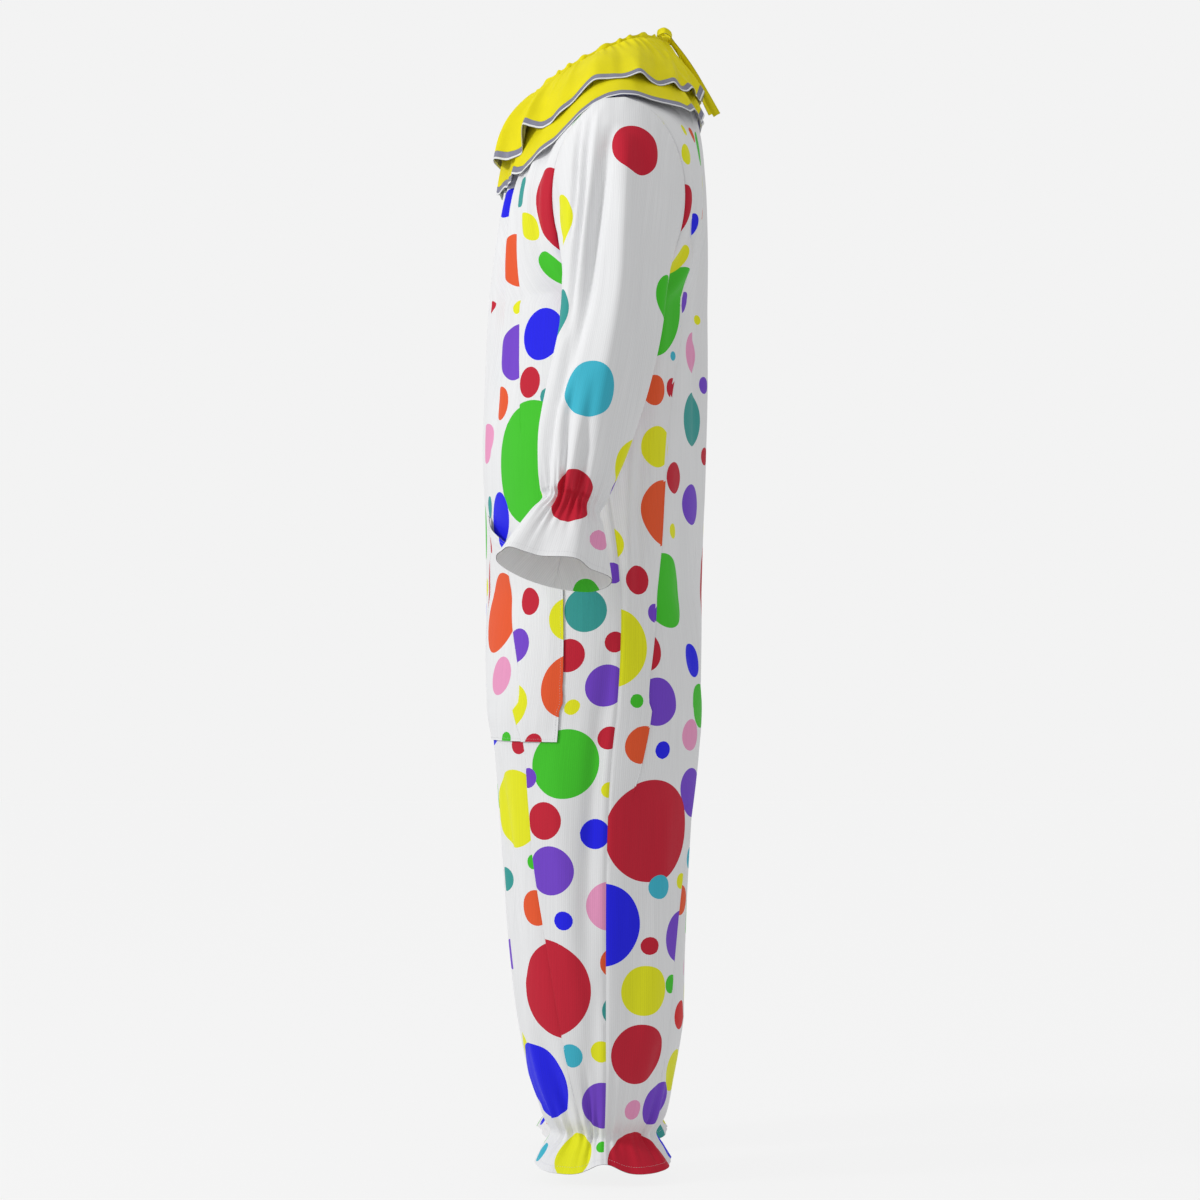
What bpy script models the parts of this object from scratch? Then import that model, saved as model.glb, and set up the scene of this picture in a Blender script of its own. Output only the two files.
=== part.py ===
"""Clown jumpsuit, worn and empty: the cut pieces at their real size, in metres.

The suit faces -Y, the wearer's left is +X and +Z is up. The origin is the base of the neck, level
with the middle of the shoulder seams, where the suit is carried. Each cut piece is a loft of cloth
through sections of the body, leg or arm, with a wall of real thickness.
"""

import math
from collections import namedtuple

import bmesh
import bpy
import numpy as np

# ---------------------------------------------------------------- driving sizes
CLOTH = 0.0015          # wall of the body, sleeves and pockets
FRILL = 0.0012          # wall of the collar frills, bands, edgings and tie
SEAM = 0.0003           # gap between two pieces at a seam
UNDERARM = -0.290       # height of the underarm point
FORK_TOP = -0.665       # where the centre seams start to curve under
CROTCH = -0.810         # height of the crotch point
POCKET_LIFT = 0.0006    # gap between a pocket and the panel that it lies on
NECK_WIDTH = 0.078      # half the neck ring, side to side
NECK_DEPTH = 0.080      # half the neck ring, front to back
NECK_CENTRE = (-0.008, 0.0195)   # y and z of the middle of the neck ring
NECK_TILT = 0.485       # rise of the neck ring for each metre towards the back
NECK_ARCH = 0.010       # how far the ring rides up at the sides of the neck
CASING_WALL = 0.0025
CASING_BELOW = 0.007    # casing below and above the neck line
CASING_ABOVE = 0.009
NECK_CLEAR = 0.0012     # extra room at the casing for the thickness of what is sewn to it
UPPER_ROOT = 0.003      # height of each frill's inner edge on the casing
LOWER_ROOT = 0.000
BODY_ROOT = -0.006      # and of the body's neck edge
BAND = 0.0075           # width of the grey bands
EDGING = 0.0026         # width of the white edgings
RIBBON = 0.0100         # width of the tie
FRONT, BACK = -1, 1     # direction of each panel along y, from the side seam

# ---------------------------------------------------------------- tables
# Body and leg sections, top to bottom: height, reach of the side, middle of the leg, y of the
# front, of the back and of the side seam.
Section = namedtuple("Section", "z side leg front back seam")
SECTIONS = [
    Section(-0.290, 0.2345, 0.0000, -0.1460, 0.1300, 0.0120),
    Section(-0.415, 0.2480, 0.0000, -0.1525, 0.1307, 0.0040),
    Section(-0.480, 0.2540, 0.0000, -0.1560, 0.1300, 0.0030),
    Section(-0.545, 0.2580, 0.0000, -0.1560, 0.1294, 0.0060),
    Section(-0.610, 0.2620, 0.0000, -0.1551, 0.1275, 0.0150),
    Section(-0.680, 0.2660, 0.0000, -0.1540, 0.1255, 0.0200),
    Section(-0.740, 0.2690, 0.0000, -0.1505, 0.1235, 0.0190),
    Section(-0.810, 0.2700, 0.1352, -0.1465, 0.1211, 0.0145),
    Section(-0.870, 0.2690, 0.1366, -0.1422, 0.1175, 0.0080),
    Section(-0.990, 0.2640, 0.1380, -0.1338, 0.1108, 0.0020),
    Section(-1.118, 0.2580, 0.1400, -0.1236, 0.1044, 0.0010),
    Section(-1.207, 0.2500, 0.1415, -0.1120, 0.0993, 0.0010),
    Section(-1.275, 0.2380, 0.1425, -0.0970, 0.0885, 0.0010),
    Section(-1.321, 0.2220, 0.1430, -0.0820, 0.0802, 0.0000),
    Section(-1.350, 0.2085, 0.1430, -0.0735, 0.0696, -0.0010),
    Section(-1.372, 0.2200, 0.1430, -0.0840, 0.0795, -0.0015),
    Section(-1.395, 0.2310, 0.1430, -0.0925, 0.0895, -0.0015),
]

# How the body widens from its top edge to the underarm: share of the fall, and the share of the
# spread that the front and the back have reached there.
Yoke = namedtuple("Yoke", "fall front back")
YOKE = [
    Yoke(0.00, 0.00, 0.00),
    Yoke(0.06, 0.07, 0.13),
    Yoke(0.13, 0.16, 0.36),
    Yoke(0.22, 0.30, 0.67),
    Yoke(0.35, 0.50, 0.87),
    Yoke(0.50, 0.69, 0.95),
    Yoke(0.73, 0.85, 0.99),
    Yoke(1.00, 1.00, 1.00),
]

# Sleeve sections, armhole to cuff: the outer and inner points, the middle and half width along y,
# and how far the front edge stands above the middle.
Ring = namedtuple("Ring", "outer_x outer_z inner_x inner_z middle half lean")
SLEEVE = [
    Ring(0.1955, -0.048, 0.2345, -0.290, 0.021, 0.094, 0.000),
    Ring(0.2380, -0.056, 0.2405, -0.300, 0.020, 0.093, 0.000),
    Ring(0.2750, -0.090, 0.2465, -0.315, 0.018, 0.085, 0.000),
    Ring(0.3050, -0.145, 0.2525, -0.337, 0.016, 0.075, 0.000),
    Ring(0.3300, -0.215, 0.2620, -0.370, 0.013, 0.067, 0.001),
    Ring(0.3500, -0.290, 0.2740, -0.413, 0.005, 0.062, 0.002),
    Ring(0.3700, -0.370, 0.2870, -0.458, -0.008, 0.060, 0.004),
    Ring(0.3880, -0.448, 0.3000, -0.506, -0.024, 0.055, 0.007),
    Ring(0.3955, -0.505, 0.3090, -0.537, -0.034, 0.048, 0.009),
    Ring(0.3930, -0.536, 0.3170, -0.556, -0.039, 0.041, 0.009),
    Ring(0.3880, -0.549, 0.3220, -0.567, -0.042, 0.038, 0.009),
    Ring(0.4000, -0.568, 0.3220, -0.592, -0.048, 0.048, 0.011),
    Ring(0.4320, -0.616, 0.3180, -0.657, -0.066, 0.071, 0.016),
]

# Rows of the panels above the underarm, as shares of the way down the armhole, and below it, as the
# height at the side seam and at the centre. The slanted rows follow the pocket's mouth.
YOKE_ROWS = [0.0, 0.08, 0.18, 0.32, 0.50, 0.74]
Row = namedtuple("Row", "side centre")
BODY_ROWS = [
    Row(-0.290, -0.290),
    Row(-0.365, -0.355),
    Row(-0.440, -0.420),
    Row(-0.515, -0.480),
    Row(-0.580, -0.525),
    Row(-0.634, -0.564),
    Row(-0.690, -0.640),
    Row(-0.740, -0.705),
    Row(-0.780, -0.765),
    Row(-0.810, -0.810),
    Row(-0.848, -0.848),
    Row(-0.920, -0.920),
    Row(-1.000, -1.000),
    Row(-1.090, -1.090),
    Row(-1.170, -1.170),
    Row(-1.235, -1.235),
    Row(-1.285, -1.285),
    Row(-1.323, -1.323),
    Row(-1.350, -1.350),
    Row(-1.366, -1.366),
    Row(-1.395, -1.395),
]
POCKET_ROWS = (5, 10)       # first and last of those rows under a pocket
COLUMNS = 9                 # strips of a panel between the side seam and the centre
POCKET_COLUMNS = (2, 7)
SHOULDER_COLUMNS = 5        # columns that end on the shoulder seam
SHOULDER_SHARE = 0.48       # share of a panel's top edge that the shoulder seam takes

# Where three columns run, as shares of the way from the side seam to the centre, at some heights.
# They follow the pocket's sides and the lines of the largest folds.
Guide = namedtuple("Guide", "z second third seventh")
FRONT_GUIDES = [
    Guide(0.000, 0.22, 0.38, 0.78),
    Guide(-0.420, 0.22, 0.36, 0.76),
    Guide(-0.560, 0.21, 0.33, 0.73),
    Guide(-0.690, 0.20, 0.32, 0.723),
    Guide(-0.740, 0.19, 0.31, 0.710),
    Guide(-0.780, 0.18, 0.30, 0.681),
    Guide(-0.810, 0.16, 0.26, 0.585),
    Guide(-0.850, 0.16, 0.26, 0.579),
    Guide(-1.060, 0.13, 0.22, 0.62),
    Guide(-1.340, 0.07, 0.14, 0.66),
]
BACK_GUIDES = [
    Guide(0.000, 0.22, 0.38, 0.78),
    Guide(-0.060, 0.30, 0.48, 0.82),
    Guide(-0.290, 0.24, 0.36, 0.78),
    Guide(-0.570, 0.18, 0.28, 0.70),
    Guide(-0.720, 0.12, 0.19, 0.62),
    Guide(-0.810, 0.08, 0.15, 0.46),
    Guide(-0.900, 0.05, 0.10, 0.35),
    Guide(-1.050, 0.05, 0.11, 0.32),
    Guide(-1.250, 0.07, 0.13, 0.28),
    Guide(-1.395, 0.15, 0.30, 0.70),
]
GUIDE_COLUMNS = (0, 2, 3, 7, COLUMNS)

# The largest folds: the trough runs down a column between two heights.
Fold = namedtuple("Fold", "panel column top bottom depth")
FOLDS = [
    Fold(FRONT, 3, -0.060, -0.430, 0.008),
    Fold(FRONT, 3, -0.860, -1.345, 0.009),
    Fold(FRONT, 7, -0.100, -0.620, 0.007),
    Fold(BACK, 3, -0.070, -0.900, 0.011),
    Fold(BACK, 7, -0.780, -1.270, 0.009),
]

# The collar's two outer edges round the neck: degrees from the front, reach from the middle of the
# neck, height, and lift of the waves. Each side of the neck has the same rows.
Edge = namedtuple("Edge", "angle upper_reach upper_z upper_wave lower_reach lower_z lower_wave")
COLLAR = [
    Edge(0, 0.133, -0.101, -0.004, 0.127, -0.144, -0.002),
    Edge(13, 0.135, -0.103, 0.004, 0.132, -0.142, 0.002),
    Edge(26, 0.136, -0.100, -0.003, 0.141, -0.138, -0.003),
    Edge(40, 0.143, -0.087, 0.010, 0.156, -0.131, 0.002),
    Edge(54, 0.152, -0.071, -0.001, 0.172, -0.120, -0.002),
    Edge(66, 0.160, -0.053, 0.006, 0.188, -0.105, 0.002),
    Edge(78, 0.166, -0.036, 0.000, 0.200, -0.072, 0.000),
    Edge(90, 0.172, -0.016, 0.000, 0.207, -0.045, 0.000),
    Edge(103, 0.172, -0.011, 0.002, 0.208, -0.037, 0.001),
    Edge(116, 0.168, -0.010, -0.001, 0.204, -0.042, 0.000),
    Edge(130, 0.162, -0.008, 0.003, 0.189, -0.046, 0.002),
    Edge(144, 0.151, -0.012, -0.004, 0.165, -0.047, -0.003),
    Edge(157, 0.140, -0.012, 0.005, 0.146, -0.042, 0.003),
    Edge(169, 0.136, -0.010, -0.003, 0.136, -0.038, -0.002),
    Edge(180, 0.134, -0.009, 0.002, 0.1335, -0.036, 0.001),
]
COLLAR_TURNS = 40           # strips of cloth round each frill
COLLAR_SLIT = 1.2           # degrees left open on each side of the centre back

# The tie: points from the knot outwards on the wearer's left, and the turn of the ribbon's width
# from level towards upright, in degrees.
Tie = namedtuple("Tie", "x y z turn")
TAIL = [
    Tie(0.0060, 0.0862, 0.0680, 0),
    Tie(0.0085, 0.0960, 0.0560, 5),
    Tie(0.0120, 0.1085, 0.0350, 20),
    Tie(0.0150, 0.1215, 0.0120, 40),
    Tie(0.0170, 0.1350, -0.0140, 60),
    Tie(0.0180, 0.1485, -0.0420, 70),
]
LOOP = [
    Tie(0.0068, 0.0810, 0.0700, 0),
    Tie(0.0150, 0.0800, 0.0745, 0),
    Tie(0.0250, 0.0790, 0.0760, 0),
    Tie(0.0330, 0.0790, 0.0730, 0),
    Tie(0.0340, 0.0800, 0.0680, 0),
    Tie(0.0270, 0.0810, 0.0650, 0),
    Tie(0.0160, 0.0810, 0.0650, 0),
    Tie(0.0068, 0.0810, 0.0660, 0),
]
KNOT = (0.0130, 0.0100, 0.0090)
KNOT_PLACE = (0.0, 0.0801, 0.0672)

# name, colour, roughness
MATERIALS = {
    "print": ((0.90, 0.90, 0.91), 0.62),
    "yellow": ((0.93, 0.84, 0.03), 0.55),
    "grey": ((0.23, 0.24, 0.33), 0.50),
    "white": ((0.88, 0.88, 0.88), 0.60),
}


# ---------------------------------------------------------------- tables to numbers
def smooth(table, field, at, key="z"):
    """A table's field at a place between its rows, on a smooth curve through them."""
    places = np.array([getattr(row, key) for row in table])
    values = np.array([getattr(row, field) for row in table])
    if places[0] > places[-1]:
        places = places[::-1]
        values = values[::-1]
    at = min(max(at, places[0]), places[-1])
    i = int(min(max(np.searchsorted(places, at) - 1, 0), len(places) - 2))
    slopes = np.gradient(values, places)
    width = places[i + 1] - places[i]
    s = (at - places[i]) / width
    start = (1 + 2 * s) * (1 - s) ** 2 * values[i] + s * (1 - s) ** 2 * width * slopes[i]
    end = s**2 * (3 - 2 * s) * values[i + 1] + s**2 * (s - 1) * width * slopes[i + 1]
    return float(start + end)


def straight(table, field, at, key="z"):
    """The same on straight lines, for tables that steer columns."""
    places = [getattr(row, key) for row in table]
    values = [getattr(row, field) for row in table]
    if places[0] > places[-1]:
        return float(np.interp(at, places[::-1], values[::-1]))
    return float(np.interp(at, places, values))


# ---------------------------------------------------------------- body and legs
def body_section(z):
    """Centre, half width, middle and half depth of the left body or leg, and the seam's y."""
    side = smooth(SECTIONS, "side", z)
    front = smooth(SECTIONS, "front", z)
    back = smooth(SECTIONS, "back", z)
    if z > CROTCH:
        split = max(0.0, (FORK_TOP - z) / (FORK_TOP - CROTCH))
        centre = side * split / (1 + split)
    else:
        centre = straight(SECTIONS, "leg", z)
    seam = smooth(SECTIONS, "seam", z)
    return centre, side - centre, (front + back) / 2, (back - front) / 2, seam


def body_point(panel, share, z):
    """A point of the body, by its share of the way round from the side seam to the centre."""
    centre, half_width, middle, half_depth, seam = body_section(z)
    start = math.asin((seam - middle) / half_depth)
    end = panel * math.acos(-min(1.0, centre / half_width))
    angles = np.linspace(start, end, 61)
    x = centre + half_width * np.cos(angles)
    y = middle + half_depth * np.sin(angles)
    run = np.concatenate([[0], np.cumsum(np.hypot(np.diff(x), np.diff(y)))])
    angle = np.interp(share * run[-1], run, angles)
    return np.array([
        max(0.0, centre + half_width * math.cos(angle)),
        middle + half_depth * math.sin(angle),
        z,
    ])


def neck_point(angle, out=0.0, up=0.0):
    """A point by the neck ring, by degrees from the front towards the wearer's left."""
    turn = math.radians(angle)
    y = NECK_CENTRE[0] - (NECK_DEPTH + out) * math.cos(turn)
    rise = NECK_TILT * (y - NECK_CENTRE[0]) + NECK_ARCH * abs(math.sin(turn))
    return np.array([(NECK_WIDTH + out) * math.sin(turn), y, NECK_CENTRE[1] + rise + up])


def sleeve_point(ring, angle, front=FRONT):
    """A point of a sleeve section, by radians from its outer point."""
    middle_x = (ring.outer_x + ring.inner_x) / 2
    middle_z = (ring.outer_z + ring.inner_z) / 2
    across = math.cos(angle)
    return np.array([
        middle_x + across * (ring.outer_x - ring.inner_x) / 2,
        ring.middle + front * math.sin(angle) * ring.half,
        middle_z + across * (ring.outer_z - ring.inner_z) / 2 - front * math.sin(angle) * ring.lean,
    ])


def yoke_top(panel, share):
    """The shoulder seam, then the neck line to the centre, on the outer wall of the casing."""
    shoulder = sleeve_point(SLEEVE[0], 0.0)
    out = CASING_WALL + SEAM + 2 * NECK_CLEAR
    neck_side = neck_point(90, out, BODY_ROOT)
    if share < SHOULDER_SHARE:
        return shoulder + (neck_side - shoulder) * share / SHOULDER_SHARE
    turn = (share - SHOULDER_SHARE) / (1 - SHOULDER_SHARE) * 90
    return neck_point(90 + panel * turn, out, BODY_ROOT)


def yoke_point(panel, share, down):
    """A point above the underarm: columns that fall from the shoulder, and meet the armhole."""
    spread = smooth(YOKE, "front" if panel == FRONT else "back", down, "fall")

    def column(at):
        top = yoke_top(panel, at)
        bottom = body_point(panel, at, UNDERARM)
        return top + (bottom - top) * np.array([spread, spread, down])

    armhole = sleeve_point(SLEEVE[0], math.pi * down, panel)
    blend = (1 - share) ** 2
    return column(share) + blend * (armhole - column(0.0))


def column_shares(panel, z):
    guides = FRONT_GUIDES if panel == FRONT else BACK_GUIDES
    marks = [straight(guides, name, z) for name in ("second", "third", "seventh")]
    return np.interp(range(COLUMNS + 1), GUIDE_COLUMNS, [0, *marks, 1])


def panel_grid(panel):
    """Rows of points from the side seam to the centre, shoulder to hem, before any fold."""
    rows = []
    for down in YOKE_ROWS:
        z = down * UNDERARM
        rows.append([yoke_point(panel, share, down) for share in column_shares(panel, z)])
    for row in BODY_ROWS:
        shares = column_shares(panel, row.side)
        heights = row.side + (row.centre - row.side) * shares
        rows.append([body_point(panel, share, z) for share, z in zip(shares, heights)])
    return np.array(rows)


# ---------------------------------------------------------------- normals, gaps and walls
def grid_normals(points, closed=False):
    """Unit normals of a grid of points, outwards for a grid whose rows run down."""
    if closed:
        along = np.roll(points, -1, axis=1) - np.roll(points, 1, axis=1)
    else:
        along = np.gradient(points, axis=1)
    down = np.gradient(points, axis=0)
    normals = np.cross(down, along)
    return normals / np.linalg.norm(normals, axis=2, keepdims=True)


def unit(vectors):
    return vectors / np.maximum(np.linalg.norm(vectors, axis=-1, keepdims=True), 1e-9)


def shared_normals(front, back):
    """Normals of both panels, the same where they meet and level across the centre line."""
    normals = {FRONT: -grid_normals(front), BACK: grid_normals(back)}
    yoke = len(YOKE_ROWS)
    both = unit(normals[FRONT][:, 0] + normals[BACK][:, 0])
    inseam = unit(normals[FRONT][:, -1] + normals[BACK][:, -1])
    legs = front[:, -1, 2] < CROTCH + 0.001
    shoulder = unit(normals[FRONT][0] + normals[BACK][0])
    for side in normals.values():
        side[0, :SHOULDER_COLUMNS] = shoulder[:SHOULDER_COLUMNS]
        side[yoke:, 0] = both[yoke:]
        side[legs, -1] = inseam[legs]
        side[~legs, -1, 0] = 0
        side[:, -1] = unit(side[:, -1])
    return normals


def pull_in(points, sides=True, ends=True, gap=SEAM / 2):
    """The grid with its edges drawn in by half a seam's gap."""
    drawn = points.copy()
    if sides:
        drawn[:, 0] += gap * unit(points[:, 1] - points[:, 0])
        drawn[:, -1] += gap * unit(points[:, -2] - points[:, -1])
    if ends:
        drawn[0] += gap * unit(points[1] - points[0])
        drawn[-1] += gap * unit(points[-2] - points[-1])
    return drawn


def cloth_wall(name, outer, normals, thickness, material, closed=False):
    """A solid of cloth: a loft through the outer points, and the same points moved inwards."""
    inner = outer - thickness * normals
    rows, columns = outer.shape[:2]
    shape = bmesh.new()
    skins = [
        [[shape.verts.new(point) for point in row] for row in skin]
        for skin in (outer, inner)
    ]
    steps = columns if closed else columns - 1
    for i in range(rows - 1):
        for j in range(steps):
            k = (j + 1) % columns
            for skin in skins:
                shape.faces.new([skin[i][j], skin[i + 1][j], skin[i + 1][k]])
                shape.faces.new([skin[i][j], skin[i + 1][k], skin[i][k]])
    out, back = skins
    for i in (0, rows - 1):
        for j in range(steps):
            k = (j + 1) % columns
            shape.faces.new([out[i][j], back[i][j], back[i][k], out[i][k]])
    for j in () if closed else (0, columns - 1):
        for i in range(rows - 1):
            shape.faces.new([out[i][j], back[i][j], back[i + 1][j], out[i + 1][j]])
    bmesh.ops.recalc_face_normals(shape, faces=shape.faces)
    mesh = bpy.data.meshes.new(name)
    shape.to_mesh(mesh)
    shape.free()
    return place(name, mesh, material)


# ---------------------------------------------------------------- scene helpers
def clear_scene():
    for old in list(bpy.data.objects):
        bpy.data.objects.remove(old, do_unlink=True)


def make_material(name):
    colour, roughness = MATERIALS[name]
    material = bpy.data.materials.get(name) or bpy.data.materials.new(name)
    material.use_nodes = True
    material.diffuse_color = (*colour, 1)
    surface = material.node_tree.nodes["Principled BSDF"]
    surface.inputs["Base Color"].default_value = (*colour, 1)
    surface.inputs["Roughness"].default_value = roughness
    surface.inputs["Metallic"].default_value = 0.0
    return material


def place(name, mesh, material):
    mesh.materials.append(make_material(material))
    mesh.shade_smooth()
    mesh.set_sharp_from_angle(angle=math.radians(60))
    made = bpy.data.objects.new(name, mesh)
    bpy.data.collections["Clown_jumpsuit"].objects.link(made)
    return made


def mirrored(source, name):
    """The wearer's right twin of a piece on the left."""
    twin = bpy.data.objects.new(name, source.data)
    twin.scale.x = -1
    bpy.data.collections["Clown_jumpsuit"].objects.link(twin)
    return twin


# ---------------------------------------------------------------- the pieces
def fold_panel(panel, points, normals):
    """The panel's points with its largest folds pressed in, each with a low lip beside it."""
    folded = points.copy()
    for fold in FOLDS:
        if fold.panel != panel:
            continue
        for i, row in enumerate(points):
            along = (fold.top - row[fold.column][2]) / (fold.top - fold.bottom)
            if 0 < along < 1:
                depth = fold.depth * math.sin(math.pi * along) ** 0.5
                folded[i, fold.column] -= depth * normals[i, fold.column]
                folded[i, fold.column - 1] += 0.35 * depth * normals[i, fold.column - 1]
    return folded


def make_body():
    """The four body panels. Returns the left front's outer points and their normals."""
    grids = {panel: panel_grid(panel) for panel in (FRONT, BACK)}
    normals = shared_normals(grids[FRONT], grids[BACK])
    for panel, name in ((FRONT, "front"), (BACK, "back")):
        outer = pull_in(fold_panel(panel, grids[panel], normals[panel]))
        outer[:, :, 0] = np.maximum(outer[:, :, 0], SEAM / 2)
        left = cloth_wall(f"{name}_left", outer, normals[panel], CLOTH, "print")
        mirrored(left, f"{name}_right")
        if panel == FRONT:
            front = outer, normals[panel]
    return front


def make_pockets(outer, normals):
    """Patch pockets: the front panel's own points, moved out."""
    first, last = (row + len(YOKE_ROWS) for row in POCKET_ROWS)
    part = (slice(first, last + 1), slice(POCKET_COLUMNS[0], POCKET_COLUMNS[1] + 1))
    lift = POCKET_LIFT + CLOTH
    left = cloth_wall(
        "pocket_left", outer[part] + lift * normals[part], normals[part], CLOTH, "print"
    )
    mirrored(left, "pocket_right")


def make_sleeves():
    columns = 16
    angles = [2 * math.pi * k / columns for k in range(columns)]
    points = np.array([[sleeve_point(ring, angle) for angle in angles] for ring in SLEEVE])
    normals = -grid_normals(points, closed=True)
    outer = pull_in(points, sides=False, gap=2 * SEAM)
    left = cloth_wall("sleeve_left", outer, normals, CLOTH, "print", closed=True)
    mirrored(left, "sleeve_right")


def frill_point(layer, angle, inset):
    """A point of a frill, by degrees from the front and metres of cloth in from its outer edge."""
    side = abs(angle)
    reach = smooth(COLLAR, f"{layer}_reach", side, "angle")
    height = smooth(COLLAR, f"{layer}_z", side, "angle")
    wave = smooth(COLLAR, f"{layer}_wave", side, "angle")
    turn = math.radians(angle)
    edge = np.array([reach * math.sin(turn), NECK_CENTRE[0] - reach * math.cos(turn), height])
    root = frill_root(layer, angle)
    length = np.linalg.norm(edge - root)
    share = max(0.0, 1 - inset / length)
    run = (edge - root) / length
    outward = unit(np.cross(np.cross(run, [0.0, 0.0, 1.0]), run))
    faces_front = (1 + math.cos(turn)) / 2
    if layer == "upper":
        crown = 0.004 + 0.010 * faces_front
    else:
        crown = 0.001 + 0.007 * faces_front**3
    lift = crown * math.sin(math.pi * share) + wave * share**1.5
    return root + run * length * share + outward * lift


def frill_root(layer, angle):
    up = UPPER_ROOT if layer == "upper" else LOWER_ROOT
    return neck_point(angle, CASING_WALL + SEAM + NECK_CLEAR, up)


def frill_length(layer, angle):
    return np.linalg.norm(frill_point(layer, angle, 0.0) - frill_root(layer, angle))


def make_collar():
    angles = np.linspace(COLLAR_SLIT - 180, 180 - COLLAR_SLIT, COLLAR_TURNS + 1)
    frill_end = EDGING + BAND + 2 * SEAM
    for layer in ("upper", "lower"):
        lengths = np.array([frill_length(layer, angle) for angle in angles])
        level = np.ones(len(angles))
        pieces = [
            ("", "yellow", [lengths, lengths * 0.5, frill_end * level]),
            ("_band", "grey", [(frill_end - SEAM) * level, (EDGING + SEAM) * level]),
            ("_edging", "white", [EDGING * level, 0 * level]),
        ]
        for part, material, insets in pieces:
            points = np.array([
                [frill_point(layer, angle, inset) for angle, inset in zip(angles, row)]
                for row in insets
            ])
            cloth_wall(f"collar_{layer}{part}", points, grid_normals(points), FRILL, material)


def make_casing():
    angles = np.linspace(COLLAR_SLIT - 180, 180 - COLLAR_SLIT, COLLAR_TURNS + 1)
    heights = (CASING_ABOVE, -CASING_BELOW)
    points = np.array([[neck_point(angle, CASING_WALL, up) for angle in angles] for up in heights])
    outward = np.array([[math.sin(math.radians(a)), -math.cos(math.radians(a)), 0] for a in angles])
    normals = np.stack([outward, outward])
    cloth_wall("neck_casing", points, normals, CASING_WALL, "yellow")


def ribbon(name, route):
    """A flat ribbon along a route, its width turned from level towards upright."""
    middle = np.array([[p.x, p.y, p.z] for p in route])
    ahead = unit(np.gradient(middle, axis=0))
    level = unit(np.cross(ahead, [0.0, 0.0, 1.0]))
    upright = np.cross(level, ahead)
    turns = np.radians([p.turn for p in route])[:, None]
    across = level * np.cos(turns) + upright * np.sin(turns)
    points = np.stack([middle - across * RIBBON / 2, middle + across * RIBBON / 2], axis=1)
    normals = np.cross(ahead, across)
    return cloth_wall(name, points, np.stack([normals, normals], axis=1), FRILL, "yellow")


def make_tie():
    mirrored(ribbon("tie_tail_left", TAIL), "tie_tail_right")
    mirrored(loop_ribbon("tie_loop_left"), "tie_loop_right")
    bpy.ops.mesh.primitive_cube_add(size=1)
    knot = bpy.context.object
    mesh = knot.data
    mesh.transform(np.diag([*KNOT, 1.0]))
    bpy.data.objects.remove(knot)
    made = place("tie_knot", mesh, "yellow")
    made.location = KNOT_PLACE
    rounding = made.modifiers.new("Rounded", "BEVEL")
    rounding.width = 0.003
    rounding.segments = 2


def loop_ribbon(name):
    """A loop of the bow: the ribbon's width lies front to back all the way round."""
    middle = np.array([[p.x, p.y, p.z] for p in LOOP])
    across = np.tile([0.0, 1.0, 0.0], (len(LOOP), 1)) * RIBBON / 2
    points = np.stack([middle - across, middle + across], axis=1)
    ahead = unit(np.gradient(middle, axis=0))
    normals = unit(np.cross(ahead, across))
    return cloth_wall(name, points, np.stack([normals, normals], axis=1), FRILL, "yellow")


def main():
    clear_scene()
    bpy.context.scene.collection.children.link(bpy.data.collections.new("Clown_jumpsuit"))
    outer, normals = make_body()
    make_pockets(outer, normals)
    make_sleeves()
    make_collar()
    make_casing()
    make_tie()


main()
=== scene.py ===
"""The looks of the clown jumpsuit: folded, gathered and printed cloth on the frame's form.

Every cloth piece starts as a flat pattern in metres: x across the cloth and y down its grain. A
Cloth holds that flat grid with the same grid in its worn shape, so dots that are drawn as circles
on the flat cloth fold, gather and disappear under laps with it.
"""

import math
import random
from collections import namedtuple

import bpy
import numpy as np
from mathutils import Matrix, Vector
from mathutils.bvhtree import BVHTree
from mathutils.geometry import delaunay_2d_cdt


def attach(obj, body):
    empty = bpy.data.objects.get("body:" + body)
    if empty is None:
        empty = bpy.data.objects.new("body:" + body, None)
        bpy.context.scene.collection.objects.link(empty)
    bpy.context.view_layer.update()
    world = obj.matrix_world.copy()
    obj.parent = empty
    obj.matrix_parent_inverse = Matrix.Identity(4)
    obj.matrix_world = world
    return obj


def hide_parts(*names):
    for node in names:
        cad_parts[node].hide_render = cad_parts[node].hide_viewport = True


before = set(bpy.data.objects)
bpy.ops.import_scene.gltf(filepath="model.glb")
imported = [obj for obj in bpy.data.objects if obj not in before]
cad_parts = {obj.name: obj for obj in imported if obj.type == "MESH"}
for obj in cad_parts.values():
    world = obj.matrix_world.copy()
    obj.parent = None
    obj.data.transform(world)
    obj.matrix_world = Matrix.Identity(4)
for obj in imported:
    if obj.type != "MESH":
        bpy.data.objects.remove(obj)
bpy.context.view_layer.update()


def named(kind, *rows):
    """A table: a named tuple of one kind for each row of values."""
    return [kind(*row) for row in rows]


# ---------------------------------------------------------------- the CAD's sizes, repeated
UNDERARM = -0.290
FORK_TOP = -0.665
CROTCH = -0.810
NECK_WIDTH = 0.078
NECK_DEPTH = 0.080
NECK_CENTRE = (-0.008, 0.0195)
NECK_TILT = 0.485
NECK_ARCH = 0.010
CASING_WALL = 0.0025
SEAM = 0.0003
NECK_CLEAR = 0.0012
UPPER_ROOT = 0.003
LOWER_ROOT = 0.000
BODY_ROOT = -0.006
BAND = 0.0075
EDGING = 0.0026
SHOULDER_SHARE = 0.48
FRONT, BACK = -1, 1
# The neck's back lies lower than the CAD's, from this y on and over this reach.
REAR_FROM, REAR_REACH, REAR_DROP = 0.030, 0.045, 0.008

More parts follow.
